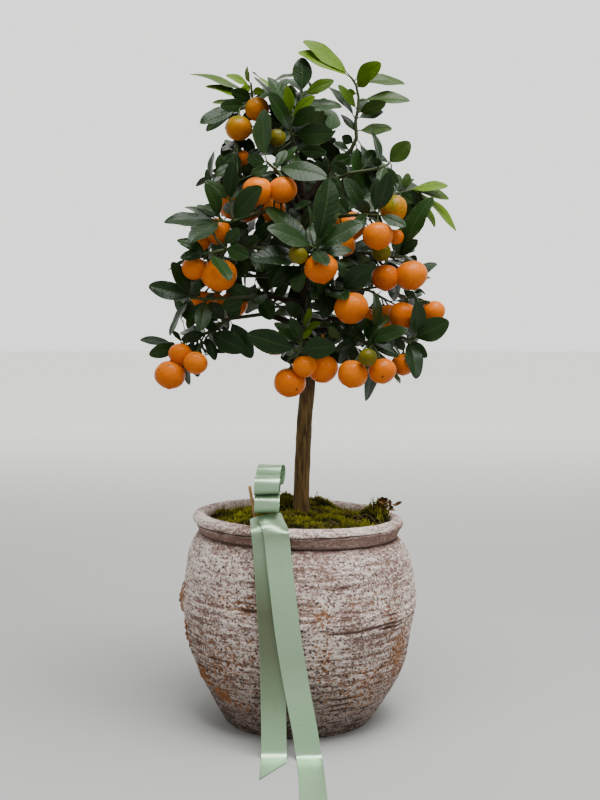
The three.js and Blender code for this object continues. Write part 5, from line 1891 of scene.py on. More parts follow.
@dataclass
class Moss:
    """Moss over the soil: a lumpy base, many little shoots, straw and a dry leaf."""

    # Place of each hump, how far it rises and how far it spreads
    humps: tuple[Row, ...] = (
        (-14, 44, 17, 26), (85, 2, 18, 17), (-60, -42, 3, 20), (-84, 14, 9, 10), (26, 62, 12, 15),
        (-40, 20, 4, 12), (30, -30, 3, 14), (62, -44, 3, 12), (-10, -58, 3, 12),
    )
    radius: float = 98
    shoots: int = 15000
    straws: int = 46
    scraps: int = 36
    scraps_at: Row = (96, -2, 234)
    scraps_spread: Row = (16, 12, 6.5)
    seed: int = 5

    def height(self, x: Array, y: Array) -> Array:
        """Height of the base at places.

        Args:
            x: Their x.
            y: Their y.

        Returns:
            The heights.
        """
        dome = 9 * (1 - (x * x + y * y) / MOUTH_RADIUS**2)
        lumps = 1.3 * np.sin(x * 0.13 + 1) * np.cos(y * 0.11) + np.sin(x * 0.05 - y * 0.21)
        for px, py, rise, spread in self.humps:
            lumps = lumps + rise * np.exp(-((x - px) ** 2 + (y - py) ** 2) / spread**2)
        return MOSS_EDGE_HEIGHT + dome + lumps + self.tufts(x, y) * 3.2 - 1.6

    def tufts(self, x: Array, y: Array) -> Array:
        """How far a tuft rises at places, from -1 to 1."""
        return Grain(31, 60).at(x / 480, y / 8) * 0.7 + Grain(32, 60).at(y / 300, x / 5) * 0.3

    def build(self, moss: Material, straw: Material, dry: Material) -> None:
        """Makes the pieces.

        Args:
            moss: The moss.
            straw: The straw.
            dry: The dry leaf.
        """
        rng = np.random.default_rng(self.seed)
        turn, radius = np.meshgrid(np.arange(150) / 150 * 2 * math.pi, np.linspace(self.radius + 0.2, 0.5, 64))
        x, y = radius * np.cos(turn), radius * np.sin(turn)
        z = self.height(x, y) * (1 - LEAN * x)
        shape = Shape("tip", "tone")
        # The cushion under the shoots is dark but for the tops of tufts: painted shade in the gaps between shoots
        shape.grid(np.stack([x, y, z], axis=-1), around=True, tip=ramp(self.tufts(x, y), 0, 1) * 0.3, tone=0.3)
        self.add_shoots(shape, rng)
        add_piece(shape, "moss_cushion", moss, Slot.MOSS, "moss")
        self.add_straw(straw, rng)
        shape = Shape()
        for _ in range(self.scraps):
            spin = rng.uniform(0, 2 * math.pi, 2)
            off = vec(*self.scraps_spread) * unit(rng.normal(size=3)) * rng.uniform(0.3, 1)
            self.add_scrap(shape, vec(*self.scraps_at) + off, spin, rng.uniform(2, 4.6))
        add_piece(shape, "moss_dry_leaf", dry, Slot.MOSS, "moss")

    def add_straw(self, straw: Material, rng: np.random.Generator) -> None:
        """Makes the piece of straws that lie about in the moss.

        Args:
            straw: The straw.
            rng: Random numbers.
        """
        shape = Shape()
        for _ in range(self.straws):
            start, way = rng.uniform(0, 2 * math.pi), rng.uniform(0, 2 * math.pi)
            far = rng.uniform(20, 92)
            at = vec(math.cos(start) * far, math.sin(start) * far, 0)
            run = vec(math.cos(way), math.sin(way), 0) * rng.uniform(5, 12)
            line = np.array([at - run, at - run * 0.3, at + run * 0.3, at + run])
            line = np.where(np.linalg.norm(line[:, :2], axis=1)[:, None] > 93, line * 0.9, line)
            line[:, 2] = self.height(line[:, 0], line[:, 1]) + vec(1, 5, 6, 2) * rng.uniform(0.6, 1.3)
            shape.tube(on_curve(line, np.linspace(0, 3, 14)), 0.32, 5)
        add_piece(shape, "moss_straw", straw, Slot.MOSS, "moss")

    @staticmethod
    def add_scrap(shape: Shape, middle: Array, spin: Array, size: float) -> None:
        """Adds a curled scrap of dry leaf.

        Args:
            shape: The mesh.
            middle: Its middle.
            spin: Two angles that set how it is turned.
            size: Half its length.
        """
        run = vec(math.cos(spin[0]), math.sin(spin[0]), 0.5 * math.sin(spin[1]))
        up = unit(np.cross(run, vec(0.3, math.cos(spin[1]), math.sin(spin[1]))))
        side = unit(np.cross(run, up))
        share, across = np.meshgrid(np.linspace(-1, 1, 8), np.linspace(-1, 1, 4), indexing="ij")
        wide = size * 0.55 * np.sqrt(1.02 - share**2) * across
        lift = size * (0.6 * share**2 + 0.4 * across**2 * (1 - share**2))
        shape.grid(middle + (share * size)[..., None] * run + wide[..., None] * side + lift[..., None] * up)

    def add_shoots(self, shape: Shape, rng: np.random.Generator) -> None:
        """Adds the shoots to the cushion.

        Args:
            shape: The cushion.
            rng: Random numbers.
        """
        count, nought = self.shoots, np.zeros(self.shoots)
        angle = rng.uniform(0, 2 * math.pi, count)
        radius = self.radius * np.sqrt(rng.uniform(0, 1, count))
        x, y = radius * np.cos(angle), radius * np.sin(angle)
        z = self.height(x, y) * (1 - LEAN * x) - 0.8
        root = np.stack([x, y, z], axis=-1)
        lean = np.stack([rng.normal(0, 0.55, count), rng.normal(0, 0.55, count), nought + 1], axis=-1)
        crowd = self.tufts(x, y)
        length = (2.6 + 3.2 * rng.uniform(0, 1, count) ** 2) * (1 + 0.35 * crowd)
        tuft = np.exp(-((x - 90) ** 2 + y**2) / 160)
        length = length * (1 + 1.8 * tuft)
        tip = root + unit(lean + vec(0.9, 0, 0) * tuft[:, None]) * length[:, None]
        bend = np.stack([rng.normal(0, 0.5, count), rng.normal(0, 0.5, count), nought], axis=-1)
        spine = np.stack([root, (root + tip) / 2 + bend, tip], axis=1)
        width = np.array([0.55, 0.62, 0.1]) * rng.uniform(0.7, 1.3, (count, 1))
        spin = rng.uniform(0, 2 * math.pi, (count, 1)) + np.arange(3) * 2 * math.pi / 3
        ring = np.stack([np.cos(spin), np.sin(spin), np.zeros_like(spin)], axis=-1)
        points = spine[:, :, None] + ring[:, None] * width[:, :, None, None]
        tone = rng.uniform(0, 1, (count, 1, 1))
        # Shoots in the low places between tufts are darker: painted shade
        share = np.array([0.05, 0.5, 1.0])[None, :, None] * ramp(crowd, -0.8, 0.5)[:, None, None]
        shape.grids(points, around=True, tip=share * (0.7 + 0.5 * tone), tone=tone)


@dataclass
class Trunk:
    """The stem and the limbs' first pieces."""

    limbs: list[Limb]
    rows: int = 220
    sides: int = 30
    limb_rows: int = 12
    # Heights between which the shade over the moss ends, and that under the crown begins
    moss_shade: tuple[float, float] = (214, 226)
    crown_shade: tuple[float, float] = (330, 400)

    def build(self, material: Material) -> None:
        """Makes the piece.

        Args:
            material: The bark.
        """
        at = np.linspace(0, len(STEM_PATH) - 1, self.rows)
        centres = on_curve(STEM_PATH, at)
        taper = np.maximum(at - TRUNK_TAPER_START, 0) / (at[-1] - TRUNK_TAPER_START)
        radii = TRUNK_RADIUS + (TRUNK_TOP_RADIUS - TRUNK_RADIUS) * taper
        points = tube_points(centres, radii, self.sides)
        turn, row = np.meshgrid(np.arange(self.sides) / self.sides, np.arange(len(points)))
        height = points[..., 2]
        bark = 0.35 * Grain(41, 11).at(turn, height / 34) + 0.16 * Grain(42, 15).at(turn, height / 7)
        knots = 0.5 * ramp(Grain(43, 3).at(turn, height / 26), 0.45, 0.9)
        middle = points.mean(axis=1, keepdims=True)
        swell = (bark + knots) / radii.mean() * ((row > 0) & (row < len(points) - 1))
        points = middle + (points - middle) * (1 + swell)[..., None]
        shape = Shape("shade")
        shade = (1 - ramp(height, *self.moss_shade)) * 0.6 + ramp(height, *self.crown_shade) * 0.85
        shape.grid(points, around=True, shade=shade)
        for limb in self.limbs:
            line = on_twig(limb.shoots[0], np.linspace(0, 1, self.limb_rows))
            shape.tube(line, np.linspace(LIMB_RADIUS, TWIG_RADIUS, self.limb_rows), 10, shade=0.9)
        add_piece(shape, "stem_and_limbs", material, Slot.BARK, "trunk")


@dataclass
class Fruits:
    """The fruits of a limb, one piece for each bunch."""

    limb: Limb
    rows: int = 36
    sides: int = 44
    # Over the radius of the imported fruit
    peel_radius: float = 1.01

    def build(self, peels: Mapping[Peel, Material]) -> None:
        """Makes the pieces.

        Args:
            peels: The peels by ripeness.
        """
        for number, bunch in enumerate(self.limb.bunches, 1):
            shape = Shape("polar", "tone")
            for k, fruit in enumerate(bunch):
                self.add_fruit(shape, fruit, number * 7 + k * 3 + len(self.limb.name))
            name = f"{self.limb.name}_{number}"
            peel = bunch[0].peel
            add_piece(shape, f"oranges_{name}", peels[peel], peel, f"fruit_{name}")

    def add_fruit(self, shape: Shape, fruit: Fruit, seed: int) -> None:
        """Adds a fruit.

        Args:
            shape: The mesh.
            fruit: The fruit.
            seed: Sets its lumps, its tip and its tone.
        """
        rng = np.random.default_rng(seed)
        turns = np.arange(self.sides) / self.sides
        down, turn = np.meshgrid(np.linspace(math.pi, 0, self.rows), turns, indexing="ij")
        nipple, dent = rng.choice([0.0, 0.05, 0.09]), rng.uniform(0.05, 0.09)
        radius = 1 + nipple * np.exp(-(((math.pi - down) / 0.17) ** 2)) - dent * np.exp(-((down / 0.32) ** 2))
        radius = radius + 0.045 * Grain(seed, 4).at(turn, down * 1.2) * np.sin(down)
        radius = radius + 0.014 * Grain(seed + 50, 9).at(turn, down * 3) * np.sin(down)
        radius = radius * (1 + rng.uniform(-0.04, 0.05) * np.cos(down))
        side = unit(np.cross(fruit.axis, vec(0.3, 0.9, 0.2)))
        other = np.cross(fruit.axis, side)
        angle = turn * 2 * math.pi
        flat = (np.cos(angle)[..., None] * side + np.sin(angle)[..., None] * other) * np.sin(down)[..., None]
        along = fruit.axis * np.cos(down)[..., None] * FRUIT_FLATNESS
        points = fruit.centre + (flat + along) * (radius * fruit.radius * self.peel_radius)[..., None]
        shape.grid(points, around=True, polar=down / math.pi, tone=rng.uniform(0, 1))


@dataclass
class Foliage:
    """The leaves, twigs, stalks and calyxes of all limbs.

    Attributes:
        limbs: The limbs.
        nodes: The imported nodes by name.
        solids: What leaves that are added stay clear of.
        low: Lowest corner of the room for them.
        high: Highest corner of it.
        rear_extras: Leaves that are tried inside the crown on a limb behind the stem.
        front_extras: The same for a limb that the front view shows.
        extra_size: Their length over that of the part's own.
        twiglet_length: The farthest that an added leaf may be from a shoot.
        covers: The crown from the sides that are closed, the front view first.
        trees: The blades so far, to test for crossings.
        boxes: Lowest corner and negative highest corner of each of them.
        extra_seed: Seed of the leaves added inside the crown.
        cover_seed: Seed of those that close it.
        leaf_seed: Seed of the leaves' waves and tones.
    """

    limbs: list[Limb]
    nodes: Mapping[str, bpy.types.Object]
    solids: BVHTree
    low: Array
    high: Array
    rear_extras: int = 26
    front_extras: int = 12
    extra_size: float = 0.95
    twiglet_length: float = 55
    covers: list[Cover] = field(
        default_factory=lambda: [Cover(None, 0.12, 12000), *(Cover(azimuth, 0.3, 1500) for azimuth in (0, 90, 45))]
    )
    trees: list[BVHTree] = field(default_factory=list)
    boxes: list[Array] = field(default_factory=list)
    extra_seed: int = 101
    cover_seed: int = 77
    leaf_seed: int = 500

    def read_leaves(self) -> None:
        """Gives each limb the leaves that the part has, and the small ones that it leaves out."""
        specs = {spray.name: spray for spray in SPRAYS}
        for seed, limb in enumerate(self.limbs, 1):
            packed = Packed(self.nodes[f"spray_{limb.name}"])
            mates: dict[tuple[float, float], int] = {}
            listed = specs[limb.name].leaves if limb.name in specs else ()
            lost = 0
            for row in listed:
                mate = mates[row[:2]] = mates.get(row[:2], -1) + 1
                found = next((leaf for leaf in listed_leaves(limb, row, mate) if packed.has(leaf.tip)), None)
                lost += found is None
                if found is not None:
                    limb.leaves.append(replace(found, width=found.width * (1 - 0.2 * found.youth)))
            dice = Dice(seed)
            for index in range(limb.fill):
                options = limb.rule_leaves(index, limb.fill, dice)
                found = next((leaf for leaf in options if packed.has(leaf.tip)), None)
                if found is not None:
                    limb.leaves.append(found)
            for row in specs[limb.name].small if limb.name in specs else ():
                mate = mates[row[:2]] = mates.get(row[:2], -1) + 1
                limb.leaves.append(listed_leaves(limb, row, mate)[0])
            LOG.info("%s: %d leaves, %d of its listed ones aren't in the part", limb.name, len(limb.leaves), lost)

    def add_extras(self) -> None:
        """Fills the crown with leaves that the part leaves out."""
        front, ball = self.covers[0], unit(np.random.default_rng(1).normal(size=(900, 3)))
        for limb in self.limbs:
            for leaf in limb.leaves:
                self.keep(leaf)
            if not limb.behind:
                for leaf in limb.leaves:
                    front.veil(self.dots(leaf))
                for fruit in limb.fruits():
                    front.veil(fruit.centre + ball * fruit.radius)
        self.add_inner()
        for seed, limb in enumerate(self.limbs, self.extra_seed):
            dice = Dice(seed)
            count = self.rear_extras if limb.behind else self.front_extras
            added = 0
            for index in range(count):
                leaf = next(filter(self.fits, limb.rule_leaves(index, count, dice, self.extra_size)), None)
                if leaf is not None:
                    limb.leaves.append(leaf)
                    self.keep(leaf)
                    added += 1
            LOG.info("%s: %d leaves added inside the crown", limb.name, added)

    def find_holds(self) -> tuple[list[tuple[Limb, Array]], KDTree]:
        """Places on all the shoots with their limbs, and a tree to find them by."""
        holds = [(limb, point) for limb in self.limbs for point in limb.places()]
        near = KDTree(len(holds))
        for n, (_, point) in enumerate(holds):
            near.insert(point, n)
        near.balance()
        return holds, near

    def add_inner(self) -> None:
        """Adds the leaves further inside that the front view shows, each as near to a shoot as it fits."""
        holds, near = self.find_holds()
        for number, (u, v, tip_u, tip_v, width) in enumerate(INNER_LEAVES, 1):
            best = None
            for depth in INNER_DEPTHS:
                for lean in INNER_LEANS:
                    leaf = seen_leaf(VIEW.place(u, v, depth), VIEW.place(tip_u, tip_v, depth + lean), width, 0.0)
                    far = near.find(leaf.root)[2]
                    if (best is None or far < best[0]) and self.fits(leaf):
                        best = far, leaf
            if best is None or best[0] > self.twiglet_length:
                LOG.info("inner leaf %d has no room", number)
                continue
            self.attach(best[1], holds, near)
            self.covers[0].veil(self.dots(best[1]))

    def attach(self, leaf: Leaf, holds: list[tuple[Limb, Array]], near: KDTree) -> None:
        """Gives a leaf to the nearest limb, on a short twig of its own.

        Args:
            leaf: The leaf.
            holds: Places on all the shoots with their limbs.
            near: A tree to find them by.
        """
        hold, n, _ = near.find(leaf.root)
        limb = holds[n][0]
        limb.leaves.append(leaf)
        limb.twiglets.append(np.array([hold, leaf.root]))
        self.keep(leaf)

    def add_cover(self) -> None:
        """Closes the crown with leaves on short twigs where one can see through it."""
        ball = unit(np.random.default_rng(2).normal(size=(1500, 3))) * 0.98
        for cover in self.covers:
            for limb in self.limbs:
                for fruit in limb.fruits():
                    cover.shade(fruit.centre + ball * fruit.radius)
                for leaf in limb.leaves:
                    cover.shade(self.dots(leaf))
        holds, near = self.find_holds()
        rng = np.random.default_rng(self.cover_seed)
        for cover in self.covers:
            added = 0
            for _ in range(cover.tries):
                leaf = self.offer(cover.open_point(rng), cover.towards, near, rng)
                if leaf is None or cover.gain(self.dots(leaf)) < cover.least:
                    continue
                hold = np.array(near.find(leaf.root)[0])
                twig = hold + (leaf.root - hold) * np.linspace(0, 1, 8)[:, None]
                if not in_gap(VIEW.seen(twig)).any() and self.fits(leaf):
                    self.attach(leaf, holds, near)
                    added += 1
                    for other in self.covers:
                        other.shade(self.dots(leaf))
            LOG.info("%d leaves added to close the crown, %d squares stay open", added, cover.open.sum())

    def offer(self, middle: Array, towards: Array, near: KDTree, rng: np.random.Generator) -> Leaf | None:
        """A leaf about a point.

        Args:
            middle: The point.
            towards: The direction that its face mostly looks in.
            near: Places on all the shoots.
            rng: Random numbers.

        Returns:
            The leaf, or None if it is too far from every shoot.
        """
        run = rng.normal(size=3)
        run = unit(run - towards * (run @ towards) * 0.6)
        length = FILL_LENGTH * rng.uniform(0.55, 1.2)
        root, other = middle - run * length * 0.55, middle + run * length * 0.55
        if near.find(other)[2] < near.find(root)[2]:
            root, run = other, -run
        if near.find(root)[2] > self.twiglet_length:
            return None
        face = towards * 0.7 + vec(0, 0, 0.5) + rng.normal(0, 0.3, 3)
        face = unit(face - run * (face @ run))
        return Leaf(root, root + run * length, BLADE_RATIO * length * rng.uniform(1, 1.2), face)

    @staticmethod
    def dots(leaf: Leaf) -> Array:
        """Points all over a blade."""
        share, side = np.meshgrid(np.linspace(0.16, 0.96, 26), np.linspace(-0.85, 0.85, 11), indexing="ij")
        return leaf.surface(share, side)

    @staticmethod
    def coarse(leaf: Leaf) -> Array:
        """A few points of a blade."""
        share, side = np.meshgrid([0.2, 0.4, 0.6, 0.8, 0.95], [-0.75, 0.0, 0.75], indexing="ij")
        return leaf.surface(share, side)

    @staticmethod
    def tree(points: Array) -> BVHTree:
        """A coarse blade to test for crossings.

        Args:
            points: Its points by row and column.

        Returns:
            A tree of its faces.
        """
        ids = np.arange(points[..., 0].size).reshape(points.shape[:2])
        quads = np.stack([ids[:-1, :-1], ids[:-1, 1:], ids[1:, 1:], ids[1:, :-1]], -1).reshape(-1, 4)
        return BVHTree.FromPolygons(points.reshape(-1, 3).tolist(), quads.tolist())

    def keep(self, leaf: Leaf) -> None:
        """Notes a leaf that others stay clear of.

        Args:
            leaf: The leaf.
        """
        points = self.coarse(leaf)
        self.trees.append(self.tree(points))
        self.boxes.append(np.concatenate([points.min(axis=(0, 1)), -points.max(axis=(0, 1))]))

    def fits(self, leaf: Leaf) -> bool:
        """Whether a leaf lies in the crown, hides nothing that the front view shows and is clear of all else.

        Args:
            leaf: The leaf.

        Returns:
            True if it does.
        """
        points = self.coarse(leaf)
        flat = points.reshape(-1, 3)
        least, most = flat.min(axis=0), flat.max(axis=0)
        if (least < self.low + CROWN_MARGIN).any() or (most > self.high - CROWN_MARGIN).any():
            return False
        room = np.interp(flat[:, 2], *zip(*CROWN_PROFILE, strict=True), left=0)
        if (np.hypot(flat[:, 0] - CROWN_AXIS, flat[:, 1]) > room).any():
            return False
        dots = self.dots(leaf)
        if not in_crown(VIEW.seen(dots)).all() or self.covers[0].hides(dots):
            return False
        tree = self.tree(points)
        if tree.overlap(self.solids):
            return False
        apart = (np.array(self.boxes) > -np.concatenate([-most, least])[None]).any(axis=1)
        return not any(tree.overlap(self.trees[n]) for n in np.flatnonzero(~apart))

    def build(self, leaf_material: Material, twig_material: Material) -> None:
        """Makes two pieces for each limb: its leaves, and its twigs with stalks and calyxes.

        Args:
            leaf_material: What leaves are made of.
            twig_material: What twigs are made of.
        """
        fruits = [fruit for limb in self.limbs for fruit in limb.fruits()]
        for seed, limb in enumerate(self.limbs, self.leaf_seed):
            shape = Shape("across", "along", "tone", "youth", "under")
            rng = np.random.default_rng(seed)
            for leaf in limb.leaves:
                ends = leaf.root + leaf.tip
                close = [fruit for fruit in fruits if np.linalg.norm(fruit.centre * 2 - ends) < 2 * FRUIT_REACH]
                self.add_leaf(shape, leaf, close, rng)
            slot = Slot.YOUNG_LEAF if limb.name == "top_right" else Slot.LEAF
            add_piece(shape, f"leaves_{limb.name}", leaf_material, slot, f"spray_{limb.name}")
            shape = Shape("age")
            self.add_twigs(shape, limb)
            add_piece(shape, f"twigs_{limb.name}", twig_material, slot, f"spray_{limb.name}")

    @staticmethod
    def add_leaf(shape: Shape, leaf: Leaf, fruits: Sequence[Fruit], rng: np.random.Generator) -> None:
        """Adds a blade and its stalk.

        Args:
            shape: The mesh.
            leaf: The leaf.
            fruits: The fruits that it may lie on.
            rng: Sets its waves and its tone.
        """
        stations = PETIOLE + (1 - PETIOLE) * (1 - np.cos(np.linspace(0, math.pi, 13))) / 2
        share, side = np.meshgrid(stations, np.linspace(-1, 1, 7), indexing="ij")
        middle = leaf.surface(share, side)
        half = leaf.half_width(share)
        wave = 0.09 * half * side**2 * np.sin(share * rng.uniform(7, 15) + rng.uniform(0, 6) + np.sign(side) * 0.8)
        droop = rng.uniform(-0.02, 0.05) * np.linalg.norm(leaf.tip - leaf.root) * np.sin(math.pi * share) ** 2
        middle = middle + leaf.face * (wave - droop)[..., None]
        for fruit in fruits:
            off = middle - fruit.centre
            far = np.linalg.norm(off, axis=-1, keepdims=True)
            reach = fruit.radius * 1.03 + 0.8
            middle = np.where(far < reach, fruit.centre + off / far * reach, middle)
        lens = leaf.face * (0.28 * (1 - side**2))[..., None]
        values = {"across": side, "along": share, "tone": rng.uniform(0, 1), "youth": leaf.youth}
        shape.grid(middle + lens, **values)
        shape.grid(middle - lens, flip=True, under=1.0, **values)
        line = leaf.surface(np.linspace(0, PETIOLE + 0.03, 5), np.zeros(5))
        shape.tube(line, np.linspace(0.75, 0.6, 5), 5, along=0.0, tone=0.9, youth=max(leaf.youth, 0.25), under=0.4)

    def add_twigs(self, shape: Shape, limb: Limb) -> None:
        """Adds the twigs, stalks and calyxes of a limb.

        Args:
            shape: The mesh.
            limb: The limb.
        """
        for index, shoot in enumerate(limb.shoots):
            first = 0 if index else 1
            at = np.linspace(first, len(shoot) - 1, 12 * (len(shoot) - 1 - first) + 1)
            line = on_twig(shoot, at)
            line[1:-1] = (line[:-2] + line[1:-1] * 2 + line[2:]) / 4
            radii = np.linspace(SHOOT_RADIUS if index else TWIG_RADIUS, TWIG_TIP_RADIUS, len(at))
            shape.tube(line, radii, 8, age=np.linspace(0.55, 0.05, len(at) + 2)[:, None])
        for start, end in limb.twiglets:
            line = start + (end - start) * np.linspace(0, 1, 4)[:, None]
            shape.tube(line, np.linspace(1.2, 0.8, 4), 6, age=0.3)
        packed = Packed(self.nodes[f"spray_{limb.name}"])
        for fruit in limb.fruits():
            self.add_stalk(shape, fruit, packed)

    @staticmethod
    def add_stalk(shape: Shape, fruit: Fruit, packed: Packed) -> None:
        """Adds a fruit's stalk and its calyx.

        Args:
            shape: The mesh.
            fruit: The fruit.
            packed: The spray's node, which shows how the stalk bends.
        """
        seat = FRUIT_FLATNESS * FRUIT_SWELL * fruit.radius + GAP
        foot = fruit.centre + fruit.axis * seat
        neck = foot + fruit.axis * CALYX_HEIGHT
        middles = [(fruit.hold + neck) / 2 + fruit.axis * 2 + vec(*bend) for bend in STALK_BENDS]
        middle = next((m for m in middles if packed.ring(m, STALK_RADIUS) >= 2), middles[0])
        line = on_curve(np.array([fruit.hold, middle, neck, foot - fruit.axis]), np.linspace(0, 3, 16))
        shape.tube(line, np.linspace(STALK_RADIUS, 1.25, 16), 8, age=0.0)
        side = unit(np.cross(fruit.axis, vec(0.2, 0.9, 0.3)))
        other = np.cross(fruit.axis, side)
        angle = np.arange(30) * 2 * math.pi / 30
        spread = np.cos(angle)[:, None] * side + np.sin(angle)[:, None] * other
        star = CALYX_RADIUS * (0.8 + 0.3 * np.cos(5 * angle))
        rows = [
            neck + spread * (star * share)[:, None] + fruit.axis * (1.1 * (1 - share) - 1.9 * share**2)
            for share in (0.05, 0.4, 0.8, 1.0)
        ]
        shape.grid(np.array(rows), around=True, flip=True, age=0.1)


def listed_leaves(limb: Limb, row: Row, mate: int) -> list[Leaf]:
    """Places for a leaf that the front view shows.

    Args:
        limb: Its limb.
        row: What the view shows, as in Spray.leaves.
        mate: How many leaves with the same root come before it.

    Returns:
        The leaves to choose from, the best first.
    """
    near = limb.nearest(miss_in_view(row[0], row[1]))
    root = limb.root_at(near, ROOT_INSET + mate * ROOT_SPACING)
    youth = row[6] if len(row) > 6 else 0.0
    depth = near.point[1] + row[4]
    return [seen_leaf(root, VIEW.place(row[2], row[3], depth + shift), row[5], youth) for shift in TIP_SHIFTS]


@dataclass
class Ribbon:
    """A satin bow of three rolls on its pick, with two tails."""

    # Path of each tail from the bow to the floor, and the left and right corner of its end
    short_tail: tuple[Row, ...] = (
        (-36, -99, 237), (-35, -106, 230.5), (-34, -111.6, 225), (-33, -115.4, 215), (-31, -118.5, 195),
        (-29, -123.9, 165), (-26.8, -126.8, 130), (-25, -127.6, 97), (-24.2, -128, 60), (-23.8, -128.6, 28),
        (-23.6, -130.5, 9), (-23.5, -137, 1.6), (-23.5, -150, 0.9), (-23.6, -168, 0.9), (-23.8, -190, 0.9),
    )
    long_tail: tuple[Row, ...] = (
        (-29, -101, 238.5), (-25.5, -108.5, 232.5), (-22.6, -115, 226.5), (-20.6, -119, 216), (-18.5, -122, 196),
        (-15, -126.8, 168), (-10.5, -130.4, 130), (-5.5, -131.2, 97), (1, -131.2, 60), (7, -131.6, 28),
        (10, -133.6, 9), (11.6, -140, 1.6), (12.6, -158, 0.9), (13.4, -185, 0.9), (14.2, -220, 0.9),
        (15, -266, 0.9),
    )
    short_end: tuple[Row, Row] = ((-36.3, -186.9), (-11, -144.2))
    long_end: tuple[Row, Row] = ((2.4, -262.2), (27.3, -236.5))
    # Of each roll: place forward and up, half depth and height, shift aside, turn
    rolls: tuple[Row, ...] = (
        (-97, 249, 14.5, 9.6, 0, 0), (-98, 267.6, 14.5, 10, 0.6, -0.04), (-85, 276.5, 12.5, 10.5, 3.5, -0.2),
    )
    # Height and how deep in shade each tail is there
    short_shades: tuple[Row, ...] = (
        (5, 0), (30, 0.25), (60, 0.62), (100, 0.85), (143, 0.9), (172, 0.7), (200, 0.45), (218, 0.55),
        (226, 0.4), (234, 0.2),
    )
    long_shades: tuple[Row, ...] = (
        (5, 0), (60, 0.06), (97, 0.28), (122, 0.2), (150, 0.1), (175, 0), (205, 0.05), (213, 0.25),
        (219, 0.5), (227, 0.4), (234, 0.2),
    )
    bow_place: float = -31
    thickness: float = 0.35
    # Of the tie: aside from the bow's place, forward and up, half width and depth
    tie: Row = (-6, -86.6, 251, 6.2, 6.1)
    # Column, row and depth of the pick's stub in the front view, its lower end and its radii
    pick_top: Row = (249.5, 486, -78)
    pick_end: Row = (-37, -77, 186)
    pick_radii: tuple[float, float] = (1.6, 1.5)
    # Points across and along a tail, and how many of its path's last stretches its end may cut
    tail_columns: int = 17
    tail_rows: int = 190
    cut_stretches: int = 5

    def add_sheet(
        self, points: Array, shade: Array | float, satin: Material, name: str, *stands_for: str
    ) -> bpy.types.Object:
        """Makes a ribbon piece of two layers from the points of its middle.

        Args:
            points: Points by row along the ribbon and column across it.
            shade: How deep in shade its colour is, from 0 to 1.
            satin: The satin.
            name: The piece's name.
            stands_for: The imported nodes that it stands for.

        Returns:
            The piece.
        """
        along = np.gradient(points, axis=0)
        normal = unit(np.cross(np.gradient(points, axis=1), along))
        side = np.broadcast_to(np.linspace(-1, 1, points.shape[1]), points.shape[:2])
        shape = Shape("across", "shade")
        half = normal * self.thickness / 2
        shape.grid(points + half, across=side, shade=shade)
        shape.grid(points - half, flip=True, across=side, shade=shade)
        for column in (0, -1):
            rim = np.stack([points[:, column] - half[:, column], points[:, column] + half[:, column]], axis=1)
            shape.grid(rim, flip=column == -1, across=1.0)
        return add_piece(shape, name, satin, Slot.RIBBON, *stands_for)

    def add_ring(self, points: Array, shade: Array | float, satin: Material, name: str) -> None:
        """Makes a ribbon piece shaped as a closed ring.

        Args:
            points: Points of its middle by row round the ring and column across the ribbon.
            shade: How deep in shade its colour is at each of them, from 0 to 1.
            satin: The satin.
            name: The piece's name.
        """
        points = np.concatenate([points, points[:1]])
        if np.ndim(shade):
            shade = np.concatenate([shade, shade[:1]])
        piece = self.add_sheet(points, shade, satin, name, "ribbon_bow")

    def tail(self, path: tuple[Row, ...], end: tuple[Row, Row]) -> tuple[Array, float, float]:
        """The middle of a tail.

        Args:
            path: Its path.
            end: Left and right corner of its end, in x and y.

        Returns:
            Its points, the length of its longer edge and its area, in millimetres.
        """
        points, last = np.array(path), len(path) - 1
        left, right = vec(*end[0]), vec(*end[1])
        kept = vec(left[1] - right[1], right[0] - left[0])
        fine = np.linspace(last - self.cut_stretches, last, 2001)
        middle, across = on_curve(points, fine), self.across(points, fine)
        lines = []
        for side in np.linspace(-1, 1, self.tail_columns):
            edge = middle + across * side * RIBBON_WIDTH / 2
            stop = fine[np.argmax((edge[:, :2] - left) @ kept < 0)]
            at = np.linspace(0, stop, self.tail_rows)
            lines.append(on_curve(points, at) + self.across(points, at) * side * RIBBON_WIDTH / 2)
        grid = np.stack(lines, axis=1)
        aside = (grid[..., 0] - self.bow_place) ** 2 * ramp(grid[..., 2], 221, 238)
        grid[..., 1] += aside * 0.03
        grid[..., 2] -= aside * 0.016
        lengths = np.linalg.norm(np.diff(grid, axis=0), axis=-1).sum(axis=0)
        return grid, float(lengths.max()), float(lengths.mean() * RIBBON_WIDTH)

    @staticmethod
    def across(points: Array, at: Array) -> Array:
        """Directions across a tail at places on its path."""
        along = curve_direction(points, at)
        return unit(vec(1, 0, 0) - along * along[:, :1])

    def build(self, satin: Material, wood: Material) -> None:
        """Makes the pick, the rolls, the tie and the tails.

        Args:
            satin: The satin.
            wood: The pick's wood.
        """
        self.build_pick(wood)
        for name, path, end, shades, rests in (
            ("ribbon_short_tail", self.short_tail, self.short_end, self.short_shades, ("pot_lip", "pot_belly")),
            ("ribbon_long_tail", self.long_tail, self.long_end, self.long_shades, ("pot_lip", "ribbon_short_tail")),
        ):
            grid, length, area = self.tail(path, end)
            shade = np.interp(grid[..., 2], *zip(*shades, strict=True))
            node = "ribbon_tail_short" if "short" in name else "ribbon_tail_long"
            piece = self.add_sheet(grid, shade, satin, name, node)
            length * MM
            area * MM * MM
        for name, roll in zip(("low", "middle", "top"), self.rolls, strict=True):
            self.build_roll(f"ribbon_roll_{name}", roll, satin)
        self.build_tie(satin)

